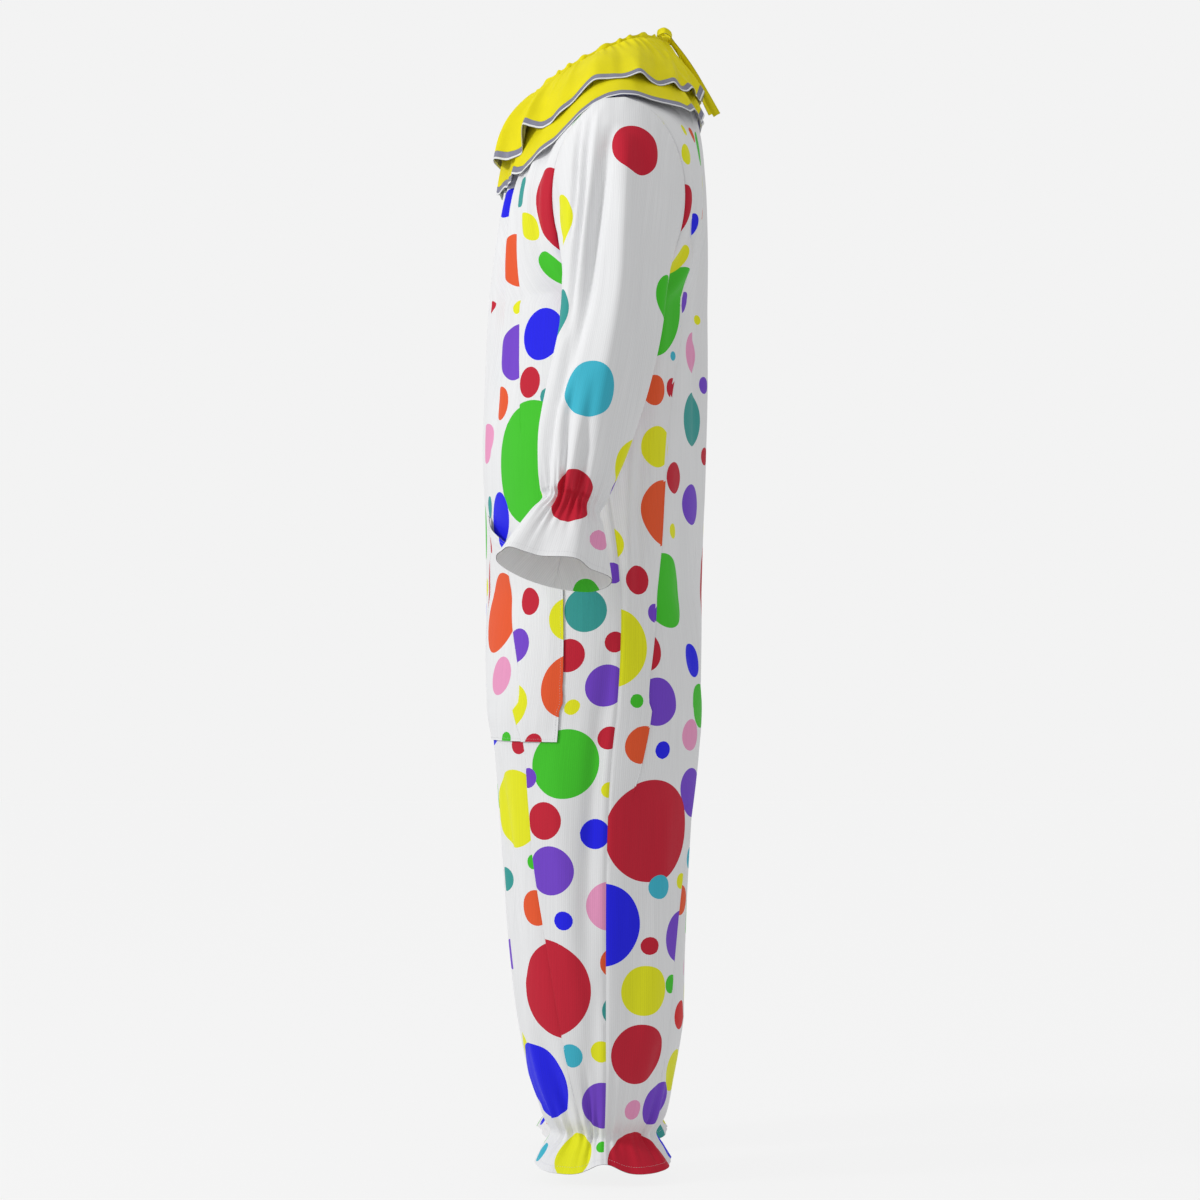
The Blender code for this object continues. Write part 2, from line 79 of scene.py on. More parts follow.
Section = namedtuple("Section", "z side leg front back seam")
SECTIONS = named(
    Section,
    (-0.290, 0.2345, 0.0000, -0.1460, 0.1300, 0.0120),
    (-0.415, 0.2480, 0.0000, -0.1525, 0.1307, 0.0040),
    (-0.480, 0.2540, 0.0000, -0.1560, 0.1300, 0.0030),
    (-0.545, 0.2580, 0.0000, -0.1560, 0.1294, 0.0060),
    (-0.610, 0.2620, 0.0000, -0.1551, 0.1275, 0.0150),
    (-0.680, 0.2660, 0.0000, -0.1540, 0.1255, 0.0200),
    (-0.740, 0.2690, 0.0000, -0.1505, 0.1235, 0.0190),
    (-0.810, 0.2700, 0.1352, -0.1465, 0.1211, 0.0145),
    (-0.870, 0.2690, 0.1366, -0.1422, 0.1175, 0.0080),
    (-0.990, 0.2640, 0.1380, -0.1338, 0.1108, 0.0020),
    (-1.118, 0.2580, 0.1400, -0.1236, 0.1044, 0.0010),
    (-1.207, 0.2500, 0.1415, -0.1120, 0.0993, 0.0010),
    (-1.275, 0.2380, 0.1425, -0.0970, 0.0885, 0.0010),
    (-1.321, 0.2220, 0.1430, -0.0820, 0.0802, 0.0000),
    (-1.350, 0.2085, 0.1430, -0.0735, 0.0696, -0.0010),
    (-1.372, 0.2200, 0.1430, -0.0840, 0.0795, -0.0015),
    (-1.395, 0.2310, 0.1430, -0.0925, 0.0895, -0.0015),
)
Yoke = namedtuple("Yoke", "fall front back")
YOKE = named(
    Yoke,
    (0.00, 0.00, 0.00),
    (0.06, 0.07, 0.13),
    (0.13, 0.16, 0.36),
    (0.22, 0.30, 0.67),
    (0.35, 0.50, 0.87),
    (0.50, 0.69, 0.95),
    (0.73, 0.85, 0.99),
    (1.00, 1.00, 1.00),
)
Ring = namedtuple("Ring", "step outer_x outer_z inner_x inner_z middle half lean")
SLEEVE = named(
    Ring,
    (0, 0.1955, -0.041, 0.2345, -0.290, 0.0170, 0.0830, 0.000),
    (1, 0.2380, -0.050, 0.2405, -0.300, 0.0165, 0.0795, 0.000),
    (2, 0.2750, -0.087, 0.2465, -0.315, 0.0153, 0.0750, 0.000),
    (3, 0.3050, -0.145, 0.2525, -0.337, 0.0137, 0.0693, 0.000),
    (4, 0.3300, -0.215, 0.2620, -0.370, 0.0100, 0.0655, 0.001),
    (5, 0.3500, -0.290, 0.2740, -0.413, 0.005, 0.062, 0.002),
    (6, 0.3700, -0.370, 0.2870, -0.458, -0.008, 0.060, 0.004),
    (7, 0.3880, -0.448, 0.3000, -0.506, -0.024, 0.055, 0.007),
    (8, 0.3955, -0.505, 0.3090, -0.537, -0.0335, 0.0475, 0.009),
    (9, 0.3930, -0.536, 0.3170, -0.556, -0.0390, 0.0410, 0.009),
    (10, 0.3880, -0.549, 0.3220, -0.567, -0.042, 0.038, 0.009),
    (11, 0.4000, -0.568, 0.3220, -0.592, -0.048, 0.048, 0.011),
    (12, 0.4320, -0.616, 0.3180, -0.657, -0.0635, 0.0685, 0.016),
)

# ---------------------------------------------------------------- the camera
IMAGE = 1200                     # the photograph's side, in its own pixels
CAMERA = Vector((5.0, -0.0064, -0.672))
PIXEL = 0.00128                  # metres a pixel on the plane that faces the camera at x = 0.1
NEAR_PLANE = 4.9                 # from the camera to that plane
LEFT_SIDE = 0.2                  # about the x of what the camera sees

# ---------------------------------------------------------------- where the folds lie
CLOTH = 0.0009                   # wall of the printed cloth
# A lap is a fold whose outer lip hides a strip. Each row gives its place, as a share of the way
# from the side seam to the centre, the strip's width and how far the lip stands proud.
Lap = namedtuple("Lap", "z share strip rise")
LAPS = {
    ("left", FRONT): [
        named(
            Lap,
            (-0.04, 0.445, 0, 0), (-0.13, 0.446, 0.01, 0.004), (-0.238, 0.445, 0.015, 0.006),
            (-0.29, 0.462, 0.015, 0.006), (-0.35, 0.445, 0.012, 0.005),
            (-0.43, 0.415, 0.004, 0.002), (-0.48, 0.4, 0, 0), (-0.6, 0.47, 0, 0),
            (-0.65, 0.46, 0.006, 0.002), (-0.7, 0.43, 0.007, 0.003), (-0.745, 0.375, 0.007, 0.003),
            (-0.8, 0.322, 0.009, 0.004), (-0.85, 0.278, 0.011, 0.005), (-0.92, 0.26, 0.013, 0.006),
            (-1, 0.245, 0.014, 0.007), (-1.08, 0.215, 0.014, 0.007), (-1.16, 0.188, 0.013, 0.006),
            (-1.24, 0.165, 0.011, 0.005), (-1.3, 0.15, 0.007, 0.003), (-1.345, 0.14, 0, 0),
        ),
    ],
    ("left", BACK): [
        named(
            Lap,
            (-0.12, 0.09, 0, 0), (-0.19, 0.185, 0.006, 0.002), (-0.238, 0.3, 0.011, 0.003),
            (-0.292, 0.42, 0.015, 0.003), (-0.424, 0.35, 0.017, 0.003),
            (-0.569, 0.28, 0.016, 0.003), (-0.722, 0.165, 0.011, 0.003), (-0.78, 0.13, 0.01, 0.003),
            (-0.85, 0.115, 0.008, 0.003), (-0.89, 0.098, 0.005, 0.002), (-0.925, 0.07, 0, 0),
        ),
        named(
            Lap,
            (-0.56, 0.68, 0, 0), (-0.722, 0.54, 0.006, 0.003), (-0.8, 0.49, 0.01, 0.004),
            (-0.875, 0.43, 0.013, 0.006), (-0.944, 0.375, 0.015, 0.007),
            (-1.027, 0.325, 0.016, 0.007), (-1.111, 0.3, 0.015, 0.006), (-1.2, 0.288, 0.01, 0.004),
            (-1.28, 0.29, 0, 0),
        ),
    ],
    ("right", FRONT): [
        named(
            Lap,
            (-0.08, 0.44, 0, 0), (-0.16, 0.43, 0.012, 0.005), (-0.3, 0.41, 0.015, 0.006),
            (-0.42, 0.4, 0.006, 0.003), (-0.5, 0.4, 0, 0), (-0.83, 0.42, 0, 0),
            (-0.9, 0.38, 0.011, 0.005), (-1.06, 0.31, 0.014, 0.006), (-1.2, 0.25, 0.011, 0.005),
            (-1.33, 0.2, 0, 0),
        ),
    ],
    ("right", BACK): [
        named(
            Lap,
            (-0.06, 0.44, 0, 0), (-0.13, 0.43, 0.012, 0.004), (-0.33, 0.36, 0.015, 0.005),
            (-0.52, 0.32, 0.014, 0.004), (-0.68, 0.27, 0.009, 0.003), (-0.76, 0.25, 0, 0),
        ),
        named(
            Lap,
            (-0.74, 0.6, 0, 0), (-0.83, 0.46, 0.012, 0.005), (-0.96, 0.38, 0.015, 0.006),
            (-1.12, 0.34, 0.011, 0.005), (-1.24, 0.32, 0, 0),
        ),
    ],
}

# Soft folds: where each runs, as shares at its top and foot, its heights, its half width and its
# height (a ridge) or depth (a trough), in metres.
Soft = namedtuple("Soft", "share_top share_foot top foot width height")
SOFT = {
    ("left", FRONT): named(
        Soft,
        (0.16, 0.2, -0.02, -0.33, 0.016, -0.006), (0.27, 0.29, -0.02, -0.28, 0.012, 0.005),
        (0.57, 0.58, -0.08, -0.47, 0.014, 0.0045), (0.66, 0.7, -0.06, -0.48, 0.016, -0.012),
        (0.78, 0.79, -0.05, -0.56, 0.016, 0.006), (0.92, 0.9, -0.06, -0.56, 0.016, 0.006),
        (0.1, 0.07, -0.34, -0.64, 0.02, -0.006), (0.23, 0.26, -0.42, -0.7, 0.022, 0.0045),
        (0.3, 0.22, -0.46, -0.64, 0.012, -0.004), (0.035, 0.07, -0.72, -1.16, 0.012, -0.006),
        (0.42, 0.33, -0.86, -1.15, 0.014, -0.008), (0.17, 0.1, -0.84, -1.2, 0.02, 0.005),
        (0.52, 0.47, -0.82, -1.27, 0.018, -0.008), (0.66, 0.66, -0.86, -1.24, 0.018, 0.006),
        (0.83, 0.8, -0.84, -1.26, 0.02, -0.007), (0.05, 0.05, -1.14, -1.34, 0.01, -0.0035),
        (0.27, 0.22, -1.2, -1.345, 0.01, -0.0045), (0.34, 0.3, -1.16, -1.345, 0.01, 0.0035),
    ),
    ("left", BACK): named(
        Soft,
        (0.18, 0.1, -0.1, -0.42, 0.016, -0.006), (0.33, 0.22, -0.05, -0.48, 0.015, 0.0045),
        (0.72, 0.62, -0.05, -0.52, 0.018, -0.007), (0.84, 0.78, -0.06, -0.62, 0.02, 0.006),
        (0.93, 0.91, -0.1, -0.52, 0.016, -0.0055), (0.12, 0.04, -0.44, -0.7, 0.013, 0.0055),
        (0.17, 0.06, -0.45, -0.69, 0.01, -0.0055), (0.45, 0.42, -0.46, -0.8, 0.02, -0.0055),
        (0.22, 0.17, -0.92, -1.28, 0.018, 0.005), (0.12, 0.09, -0.96, -1.26, 0.016, -0.0035),
        (0.5, 0.46, -0.84, -1.2, 0.02, -0.007), (0.66, 0.64, -0.82, -1.28, 0.02, 0.006),
        (0.82, 0.8, -0.84, -1.24, 0.018, -0.007), (0.24, 0.2, -1.22, -1.345, 0.01, -0.004),
    ),
    ("right", FRONT): named(
        Soft,
        (0.14, 0.17, -0.02, -0.3, 0.015, -0.0055), (0.26, 0.25, -0.02, -0.36, 0.014, 0.004),
        (0.56, 0.55, -0.05, -0.6, 0.018, -0.0065), (0.68, 0.67, -0.05, -0.38, 0.013, 0.005),
        (0.82, 0.84, -0.06, -0.62, 0.02, -0.006), (0.12, 0.06, -0.38, -0.72, 0.018, -0.005),
        (0.3, 0.3, -0.5, -0.76, 0.022, 0.004), (0.08, 0.13, -0.78, -1.06, 0.018, -0.006),
        (0.22, 0.16, -0.9, -1.26, 0.02, 0.0045), (0.5, 0.46, -0.84, -1.18, 0.02, -0.0065),
        (0.64, 0.62, -0.8, -1.24, 0.02, 0.005), (0.82, 0.84, -0.86, -1.22, 0.018, -0.0055),
    ),
    ("right", BACK): named(
        Soft,
        (0.17, 0.12, -0.08, -0.38, 0.016, -0.005), (0.3, 0.24, -0.05, -0.44, 0.014, 0.004),
        (0.58, 0.52, -0.05, -0.6, 0.02, -0.006), (0.74, 0.7, -0.06, -0.48, 0.017, 0.005),
        (0.9, 0.88, -0.1, -0.64, 0.018, -0.005), (0.12, 0.06, -0.48, -0.74, 0.014, -0.0045),
        (0.18, 0.14, -0.82, -1.2, 0.02, 0.004), (0.54, 0.5, -0.84, -1.26, 0.02, -0.0065),
        (0.7, 0.68, -0.82, -1.18, 0.018, 0.005), (0.86, 0.84, -0.86, -1.26, 0.018, -0.0055),
    ),
}

ANKLE = -1.343                   # height of the ankle's elastic
DRAWN_FROM = -1.215              # below this the flat leg stays as wide, and is only drawn in
FRILL_FALL = 0.045               # from the elastic to the hem

# ---------------------------------------------------------------- dots
COLOURS = {
    "white": (0.86, 0.865, 0.875),
    "red": (0.58, 0.017, 0.040),
    "scarlet": (0.72, 0.015, 0.018),
    "blue": (0.016, 0.016, 0.86),
    "green": (0.060, 0.58, 0.026),
    "orange": (0.84, 0.108, 0.031),
    "yellow": (0.84, 0.85, 0.016),
    "teal": (0.045, 0.35, 0.325),
    "cyan": (0.055, 0.49, 0.64),
    "purple": (0.185, 0.064, 0.62),
    "pink": (0.86, 0.34, 0.57),
    "edge": (0.36, 0.365, 0.375),      # painted shade: grey for a turned hem's cut edge in shadow, put on the cloth wall's rim
}


# ---------------------------------------------------------------- tables to numbers
def smooth(table, field, at, key="z"):
    """A table's field at places between its rows, on a smooth curve through them."""
    places = np.array([getattr(row, key) for row in table], float)
    values = np.array([getattr(row, field) for row in table], float)
    if places[0] > places[-1]:
        places = places[::-1]
        values = values[::-1]
    at = np.clip(at, places[0], places[-1])
    i = np.clip(np.searchsorted(places, at) - 1, 0, len(places) - 2)
    slopes = np.gradient(values, places)
    width = places[i + 1] - places[i]
    s = (at - places[i]) / width
    start = (1 + 2 * s) * (1 - s) ** 2 * values[i] + s * (1 - s) ** 2 * width * slopes[i]
    end = s**2 * (3 - 2 * s) * values[i + 1] + s**2 * (s - 1) * width * slopes[i + 1]
    return start + end


def bell(away, width):
    """1 at no distance, falling off smoothly over a width."""
    return np.exp(-((away / width) ** 2))


def soft_step(share):
    """A share from 0 to 1, starting and ending slowly."""
    return share * share * (3 - 2 * share)


def round_ring(away):
    """The short way round a closed ring, in shares."""
    return (away + 0.5) % 1.0 - 0.5


def unit(vectors):
    return vectors / np.maximum(np.linalg.norm(vectors, axis=-1, keepdims=True), 1e-9)


def run_length(points):
    """Distance along a line of points, from its first point."""
    return np.concatenate([[0.0], np.cumsum(np.linalg.norm(np.diff(points, axis=0), axis=1))])


def along(points, places):
    """Points of a line at some distances along it."""
    run = run_length(points)
    return np.stack([np.interp(places, run, points[:, k]) for k in range(3)], axis=1)


def steps(*spans):
    """Places from spans of (start, end, spacing), each span starting where the last one ended."""
    places = [spans[0][0]]
    for start, end, spacing in spans:
        count = max(1, round(abs(end - start) / spacing))
        places += list(np.linspace(start, end, count + 1)[1:])
    return np.array(places)


# ---------------------------------------------------------------- the smooth form of the body
def body_row(panel, z, shares):
    """Points of a level row, by shares of the way from the side seam to the centre."""
    side = float(smooth(SECTIONS, "side", z))
    front = float(smooth(SECTIONS, "front", z))
    back = float(smooth(SECTIONS, "back", z))
    seam = float(smooth(SECTIONS, "seam", z))
    if z > CROTCH:
        split = max(0.0, (FORK_TOP - z) / (FORK_TOP - CROTCH))
        centre = side * split / (1 + split)
    else:
        heights = [row.z for row in SECTIONS][::-1]
        centre = float(np.interp(z, heights, [row.leg for row in SECTIONS][::-1]))
    half_width = side - centre
    middle = (front + back) / 2
    half_depth = (back - front) / 2
    start = math.asin((seam - middle) / half_depth)
    end = panel * math.acos(-min(1.0, centre / half_width))
    angles = np.linspace(start, end, 181)
    x = np.maximum(0.0, centre + half_width * np.cos(angles))
    arc = np.stack([x, middle + half_depth * np.sin(angles), np.full_like(x, z)], axis=1)
    return along(arc, np.asarray(shares) * run_length(arc)[-1])


def neck_point(angle, out=0.0, up=0.0):
    """Points by the neck ring, by degrees from the front towards the wearer's left."""
    turn = np.radians(angle)
    y = NECK_CENTRE[0] - (NECK_DEPTH + out) * np.cos(turn)
    rise = NECK_TILT * (y - NECK_CENTRE[0]) + NECK_ARCH * np.abs(np.sin(turn))
    rise = rise - REAR_DROP * soft_step(np.clip((y - REAR_FROM) / REAR_REACH, 0, 1))
    return np.stack([(NECK_WIDTH + out) * np.sin(turn), y, NECK_CENTRE[1] + rise + up], axis=-1)


def sleeve_ring(step):
    """A sleeve section at a place between the table's rows."""
    return Ring(step, *(float(smooth(SLEEVE, name, step, "step")) for name in Ring._fields[1:]))


def sleeve_point(ring, angle, front=FRONT):
    """Points of a sleeve section, by radians from its outer point."""
    across = np.cos(angle)
    ahead = front * np.sin(angle)
    return np.stack([
        (ring.outer_x + ring.inner_x) / 2 + across * (ring.outer_x - ring.inner_x) / 2,
        ring.middle + ahead * ring.half,
        (ring.outer_z + ring.inner_z) / 2 + across * (ring.outer_z - ring.inner_z) / 2
        - ahead * ring.lean,
    ], axis=-1)


def yoke_row(panel, down, shares):
    """Points of a row above the underarm, by shares; down is its share of the fall."""
    out = CASING_WALL + SEAM + 2 * NECK_CLEAR
    shoulder = sleeve_point(SLEEVE[0], 0.0)
    neck_side = neck_point(90.0, out, BODY_ROOT)
    turn = np.maximum(0.0, shares - SHOULDER_SHARE) / (1 - SHOULDER_SHARE) * 90
    on_shoulder = np.minimum(shares, SHOULDER_SHARE)[:, None] / SHOULDER_SHARE
    top = np.where(
        (shares < SHOULDER_SHARE)[:, None],
        shoulder + (neck_side - shoulder) * on_shoulder,
        neck_point(90 + panel * turn, out, BODY_ROOT),
    )
    spread = float(smooth(YOKE, "front" if panel == FRONT else "back", down, "fall"))
    reached = np.array([spread, spread, down])
    row = top + (body_row(panel, UNDERARM, shares) - top) * reached
    side = shoulder + (body_row(panel, UNDERARM, [0.0])[0] - shoulder) * reached
    armhole = sleeve_point(SLEEVE[0], math.pi * down, panel)
    return row + (1 - shares)[:, None] ** 2 * (armhole - side)


# ---------------------------------------------------------------- cloth
class Cloth:
    """A flat pattern and its worn shape, on one grid whose rows run down the grain."""

    def __init__(self, flat, worn, outward, folds=()):
        self.flat = flat                  # rows x columns x (across, down)
        self.worn = worn                  # rows x columns x (x, y, z)
        self.normals = grid_normals(worn, outward)
        self.folds = folds                # grid columns that run along folds
        self.border = None                # the flat outline that it is cut to, if not the grid's
        self.laps = []                    # each lap's line: its places down, across, and its strip
        self.heights = None               # a panel's rows: their heights
        self.shares = None                # and their shares of the smooth form
        rows, columns = flat.shape[:2]
        index = np.arange(rows * columns).reshape(rows, columns)
        a, b = index[:-1, :-1].ravel(), index[1:, :-1].ravel()
        c, d = index[1:, 1:].ravel(), index[:-1, 1:].ravel()
        self.triangles = np.concatenate([np.stack([a, b, c], 1), np.stack([a, c, d], 1)])
        flat_points = [(x, y, 0.0) for x, y in flat.reshape(-1, 2)]
        self.flat_tree = BVHTree.FromPolygons(flat_points, self.triangles.tolist())
        self.worn_tree = None

    def see(self):
        """Builds what place_seen needs."""
        points = [tuple(p) for p in self.worn.reshape(-1, 3)]
        self.worn_tree = BVHTree.FromPolygons(points, self.triangles.tolist())

    def weights(self, spots):
        """For flat spots: the grid triangle that each lies in, or -1, and its corner weights."""
        found = np.full(len(spots), -1)
        down = Vector((0, 0, -1))
        for k, (x, y) in enumerate(spots):
            hit = self.flat_tree.ray_cast(Vector((x, y, 1.0)), down)
            if hit[2] is not None:
                found[k] = hit[2]
        corners = self.flat.reshape(-1, 2)[self.triangles[np.maximum(found, 0)]]
        return found, corner_weights(np.asarray(spots), corners)

    def carry(self, spots):
        """Worn points and normals of flat spots, and which of them lie on the cloth."""
        found, weight = self.weights(spots)
        corners = self.triangles[np.maximum(found, 0)]
        worn = (self.worn.reshape(-1, 3)[corners] * weight[:, :, None]).sum(1)
        normals = unit((self.normals.reshape(-1, 3)[corners] * weight[:, :, None]).sum(1))
        return worn, normals, found >= 0

    def same_side(self, spots, seen):
        """Whether spots lie on the same side of every lap as a place that is seen."""
        same = np.ones(len(spots), bool)
        for downs, acrosses, strips in self.laps:
            lines = np.interp(spots[:, 1], downs, acrosses)
            hidden = np.interp(spots[:, 1], downs, strips) > LEAST_STRIP
            crossed = (spots[:, 0] > lines) != (seen[0] > np.interp(seen[1], downs, acrosses))
            same &= ~(crossed & hidden)
        return same

    def place_seen(self, x, y):
        """The flat place that the camera sees at a pixel of the photograph, or None."""
        start, ray = sight(x, y)
        hit = self.worn_tree.ray_cast(start, ray)
        if hit[2] is None:
            return None
        corners = self.triangles[hit[2]]
        a, b, c = (Vector(p) for p in self.worn.reshape(-1, 3)[corners])
        whole = (b - a).cross(c - a)
        area = whole.length_squared
        share_a = (b - hit[0]).cross(c - hit[0]).dot(whole) / area
        share_b = (c - hit[0]).cross(a - hit[0]).dot(whole) / area
        flat = self.flat.reshape(-1, 2)[corners]
        return share_a * flat[0] + share_b * flat[1] + (1 - share_a - share_b) * flat[2]


def grid_normals(points, outward):
    """Normals of a grid of points; outward is 1 if down x across faces out."""
    across = np.gradient(points, axis=1)
    down = np.gradient(points, axis=0)
    return unit(outward * np.cross(down, across))


def corner_weights(spots, corners):
    """Weights of each triangle's corners at each flat spot."""
    ab = corners[:, 1] - corners[:, 0]
    ac = corners[:, 2] - corners[:, 0]
    ap = spots - corners[:, 0]
    whole = ab[:, 0] * ac[:, 1] - ab[:, 1] * ac[:, 0]
    whole = np.where(np.abs(whole) < 1e-12, 1e-12, whole)
    second = (ap[:, 0] * ac[:, 1] - ap[:, 1] * ac[:, 0]) / whole
    third = (ab[:, 0] * ap[:, 1] - ab[:, 1] * ap[:, 0]) / whole
    return np.stack([1 - second - third, second, third], axis=1)


def sight(x, y):
    """The camera's line of sight through a pixel of the photograph."""
    across = (x - IMAGE / 2) * PIXEL / NEAR_PLANE
    down = (y - IMAGE / 2) * PIXEL / NEAR_PLANE
    return CAMERA, Vector((-1.0, across, -down)).normalized()


def seen_size(pixels):
    """The size in metres of something on the left side that spans so many pixels."""
    return pixels * PIXEL * (CAMERA.x - LEFT_SIDE) / NEAR_PLANE


# ---------------------------------------------------------------- folds
def lap_row(lap, z):
    """Place, strip and rise of a lap at a height."""
    heights = [row.z for row in lap][::-1]
    if z > heights[-1] or z < heights[0]:
        share = np.interp(z, heights, [row.share for row in lap][::-1])
        return float(share), 0.0, 0.0
    return tuple(max(0.0, float(smooth(lap, name, z))) for name in ("share", "strip", "rise"))


TURN = 0.0045        # flat cloth that a lap's edges take to turn over
LAP_COLUMNS = 17     # grid columns across a lap
BESIDE = 0.004       # more cloth on each side that those columns take in
LAP_REACH = 0.026    # how far a lap lifts the cloth beside it
LEAST_STRIP = 0.003  # a lap that hides less doesn't part a dot


def soft_at(soft, place):
    """Share and height of a soft fold at a place between its ends, or None beyond them."""
    run = (place - soft.top) / (soft.foot - soft.top)
    if not 0 < run < 1:
        return None
    share = soft.share_top + (soft.share_foot - soft.share_top) * run
    return share, soft.height * math.sin(math.pi * run) ** 0.7


class RowFolds:
    """Where one row's cloth goes: flat places across it, and how each is moved from the form."""

    def __init__(self, laps, softs, length, z, counts):
        self.length = length
        self.laps = []
        hidden = 0.0
        for lap in laps:
            share, strip, rise = lap_row(lap, z)
            self.laps.append((share * length + strip / 2 + hidden, strip, rise))
            hidden += 2 * strip
        self.width = length + hidden
        self.softs = []
        for soft in softs:
            found = soft_at(soft, z)
            if found:
                self.softs.append((found[0] * length, soft.width, found[1]))
        places = []
        start = 0.0
        for (middle, strip, _), count in zip(self.laps, counts):
            reach = strip / 2 + TURN + BESIDE
            places.append(np.linspace(start, middle - reach, count, endpoint=False))
            places.append(np.linspace(middle - reach, middle + reach, LAP_COLUMNS, endpoint=False))
            start = middle + reach
        places.append(np.linspace(start, self.width, counts[len(self.laps)] + 1))
        self.places = np.concatenate(places)

    def on_form(self):
        """Distance along the smooth form, and height above it, of each flat place."""
        at = self.places.copy()
        height = np.zeros_like(at)
        for middle, strip, rise in self.laps:
            side = self.places - middle
            turned = side / np.maximum(1e-6, (np.abs(side) ** 4 + (strip / 2 + 1e-4) ** 4) ** 0.25)
            at -= strip * (1 + turned)
            height -= rise / 2 * turned * bell(side, LAP_REACH + strip / 2)
        for place, width, tall in self.softs:
            height += tall * bell(at - place, width)
        return at, height


# ---------------------------------------------------------------- gathers and waves
# Gathers at an elastic: spacing and height, and the half width and depth of its groove.
Elastic = namedtuple("Elastic", "spacing tall half groove")
ANKLE_ELASTIC = Elastic(0.0054, 0.0088, 0.0085, 0.0030)
WRIST_ELASTIC = Elastic(0.0040, 0.0070, 0.0085, 0.0015)
REACH_ABOVE, REACH_BELOW = 0.055, 0.030          # of a gather of usual length
SPREADS = 0.06                                   # distance in which a gather doubles its width


def gathers(seed, count):
    """Uneven pleats round an elastic: (place as a share, width, height, length above, below)."""
    chance = random.Random(seed)
    pleats = []
    for k in range(count):
        place = (k + chance.uniform(0.2, 0.8)) / count
        pleats.append((place, chance.uniform(0.5, 1.0), chance.uniform(0.4, 1.0),
                       chance.uniform(0.5, 1.5), chance.uniform(0.6, 1.2)))
    return pleats


def gathered(pleats, shares, above, length, spacing, tall):
    """Height of the pleats at shares of a row that lies so far above (or below) the elastic."""
    height = np.zeros_like(shares)
    for place, width, strong, reach_up, reach_down in pleats:
        if above > 0:
            fade = math.exp(-((above / (REACH_ABOVE * reach_up)) ** 2))
        else:
            fade = math.exp(-(above / (REACH_BELOW * reach_down)) ** 2 / 2)
        spread = width * spacing * (1 + abs(above) / SPREADS)
        height += tall * strong * fade * bell((shares - place) * length, spread)
    return height


def drawn_in(pleats, shares, above, length, elastic):
    """Height of a row that an elastic draws in: valleys, and the groove that it lies in."""
    height = -gathered(pleats, shares, above, length, elastic.spacing, elastic.tall)
    return height - elastic.groove * math.exp(-((above / elastic.half) ** 2))


def waved(waves, away_from):
    """Height of a frill's waves; away_from gives the distance from a wave's share."""
    return sum(wave.height * bell(away_from(wave.share), wave.width) for wave in waves)


# ---------------------------------------------------------------- body panels
PANEL_COLUMNS = {1: (58, 84), 2: (30, 52, 56)}   # grid columns between laps, by number of laps
PANEL_PLEATS = 19
EDGE_EASE = 0.012                # folds fade out over this, so that pieces meet at their seams
AHEAD = 0.004                    # step along the form in which its direction is taken
# The ankle hem rises above the CAD's by HEM_RISE, and by more at the seams and at the middle:
# share, half width as a share, and height.
HEM_RISE = 0.004
Rise = namedtuple("Rise", "share width height")
HEM_RISES = named(Rise, (0.0, 0.09, 0.013), (0.5, 0.19, 0.009), (1.0, 0.15, 0.008))
GRAIN_SHARE = 0.03               # where a panel's straight grain runs, by its side seam
SEAM_DIP, SEAM_HALF = 0.0011, 0.0026   # how far, and how wide, cloth is drawn in at a seam


def eased(values, down, reach=0.10):
    """Values smoothed along the grain, by a bell of so much half width."""
    weights = bell(down[:, None] - down[None], reach) * np.gradient(down)[None]
    return (weights @ values) / weights.sum(axis=1).reshape(-1, *[1] * (values.ndim - 1))


def squared(across, shares, lengths, laps, down):
    """Flat coordinates in which cloth beside a lap, or on a taper, turns instead of shearing."""
    growth = np.gradient(eased(lengths, down), down)
    hidden = laps[:, :, 1]
    change = np.gradient(eased(hidden, down, 0.06), down, axis=0)
    away = shares - GRAIN_SHARE
    dip = growth[:, None] * lengths[:, None] * away * np.abs(away) / 2
    for k in range(laps.shape[1]):
        middle = laps[:, k, 0] - hidden[:, k] / 2 - hidden[:, :k].sum(axis=1)
        beyond = shares * lengths[:, None] - middle[:, None]
        dip += change[:, k, None] * np.maximum(0, beyond)
    return np.stack([across - GRAIN_SHARE * lengths[:, None], down[:, None] - dip], axis=2)


def panel_row(side, panel, z, down, pleats):
    """One row of a panel: its folds, its shares and points on the form, and the form's line."""
    fine = np.linspace(0, 1, 301)
    form = body_row(panel, z, fine) if down is None else yoke_row(panel, down, fine)
    length = run_length(form)[-1]
    laps = LAPS[side, panel]
    row = RowFolds(laps, SOFT[side, panel], length, z, PANEL_COLUMNS[len(laps)])
    at, height = row.on_form()
    shares = at / length
    drop = max(0.0, (ANKLE - z) / FRILL_FALL)
    if z < -1.2:
        height += drawn_in(pleats, shares, z - ANKLE, length, ANKLE_ELASTIC)
        height += min(1.0, drop) * waved(ANKLE_WAVES[side, panel], lambda share: shares - share)
    height *= soft_step(np.clip(np.minimum(at, length - at) / EDGE_EASE, 0, 1))
    height -= SEAM_DIP * (bell(at, SEAM_HALF) + bell(length - at, SEAM_HALF))
    ahead = along(form, np.minimum(at + AHEAD, length)) - along(form, np.maximum(at - AHEAD, 0))
    outward = unit(np.stack([panel * ahead[:, 1], -panel * ahead[:, 0], 0 * at], axis=1))
    points = along(form, at) + outward * height[:, None]
    points[:, 2] += drop * (HEM_RISE + waved(HEM_RISES, lambda share: shares - share))
    return row, shares, points, form


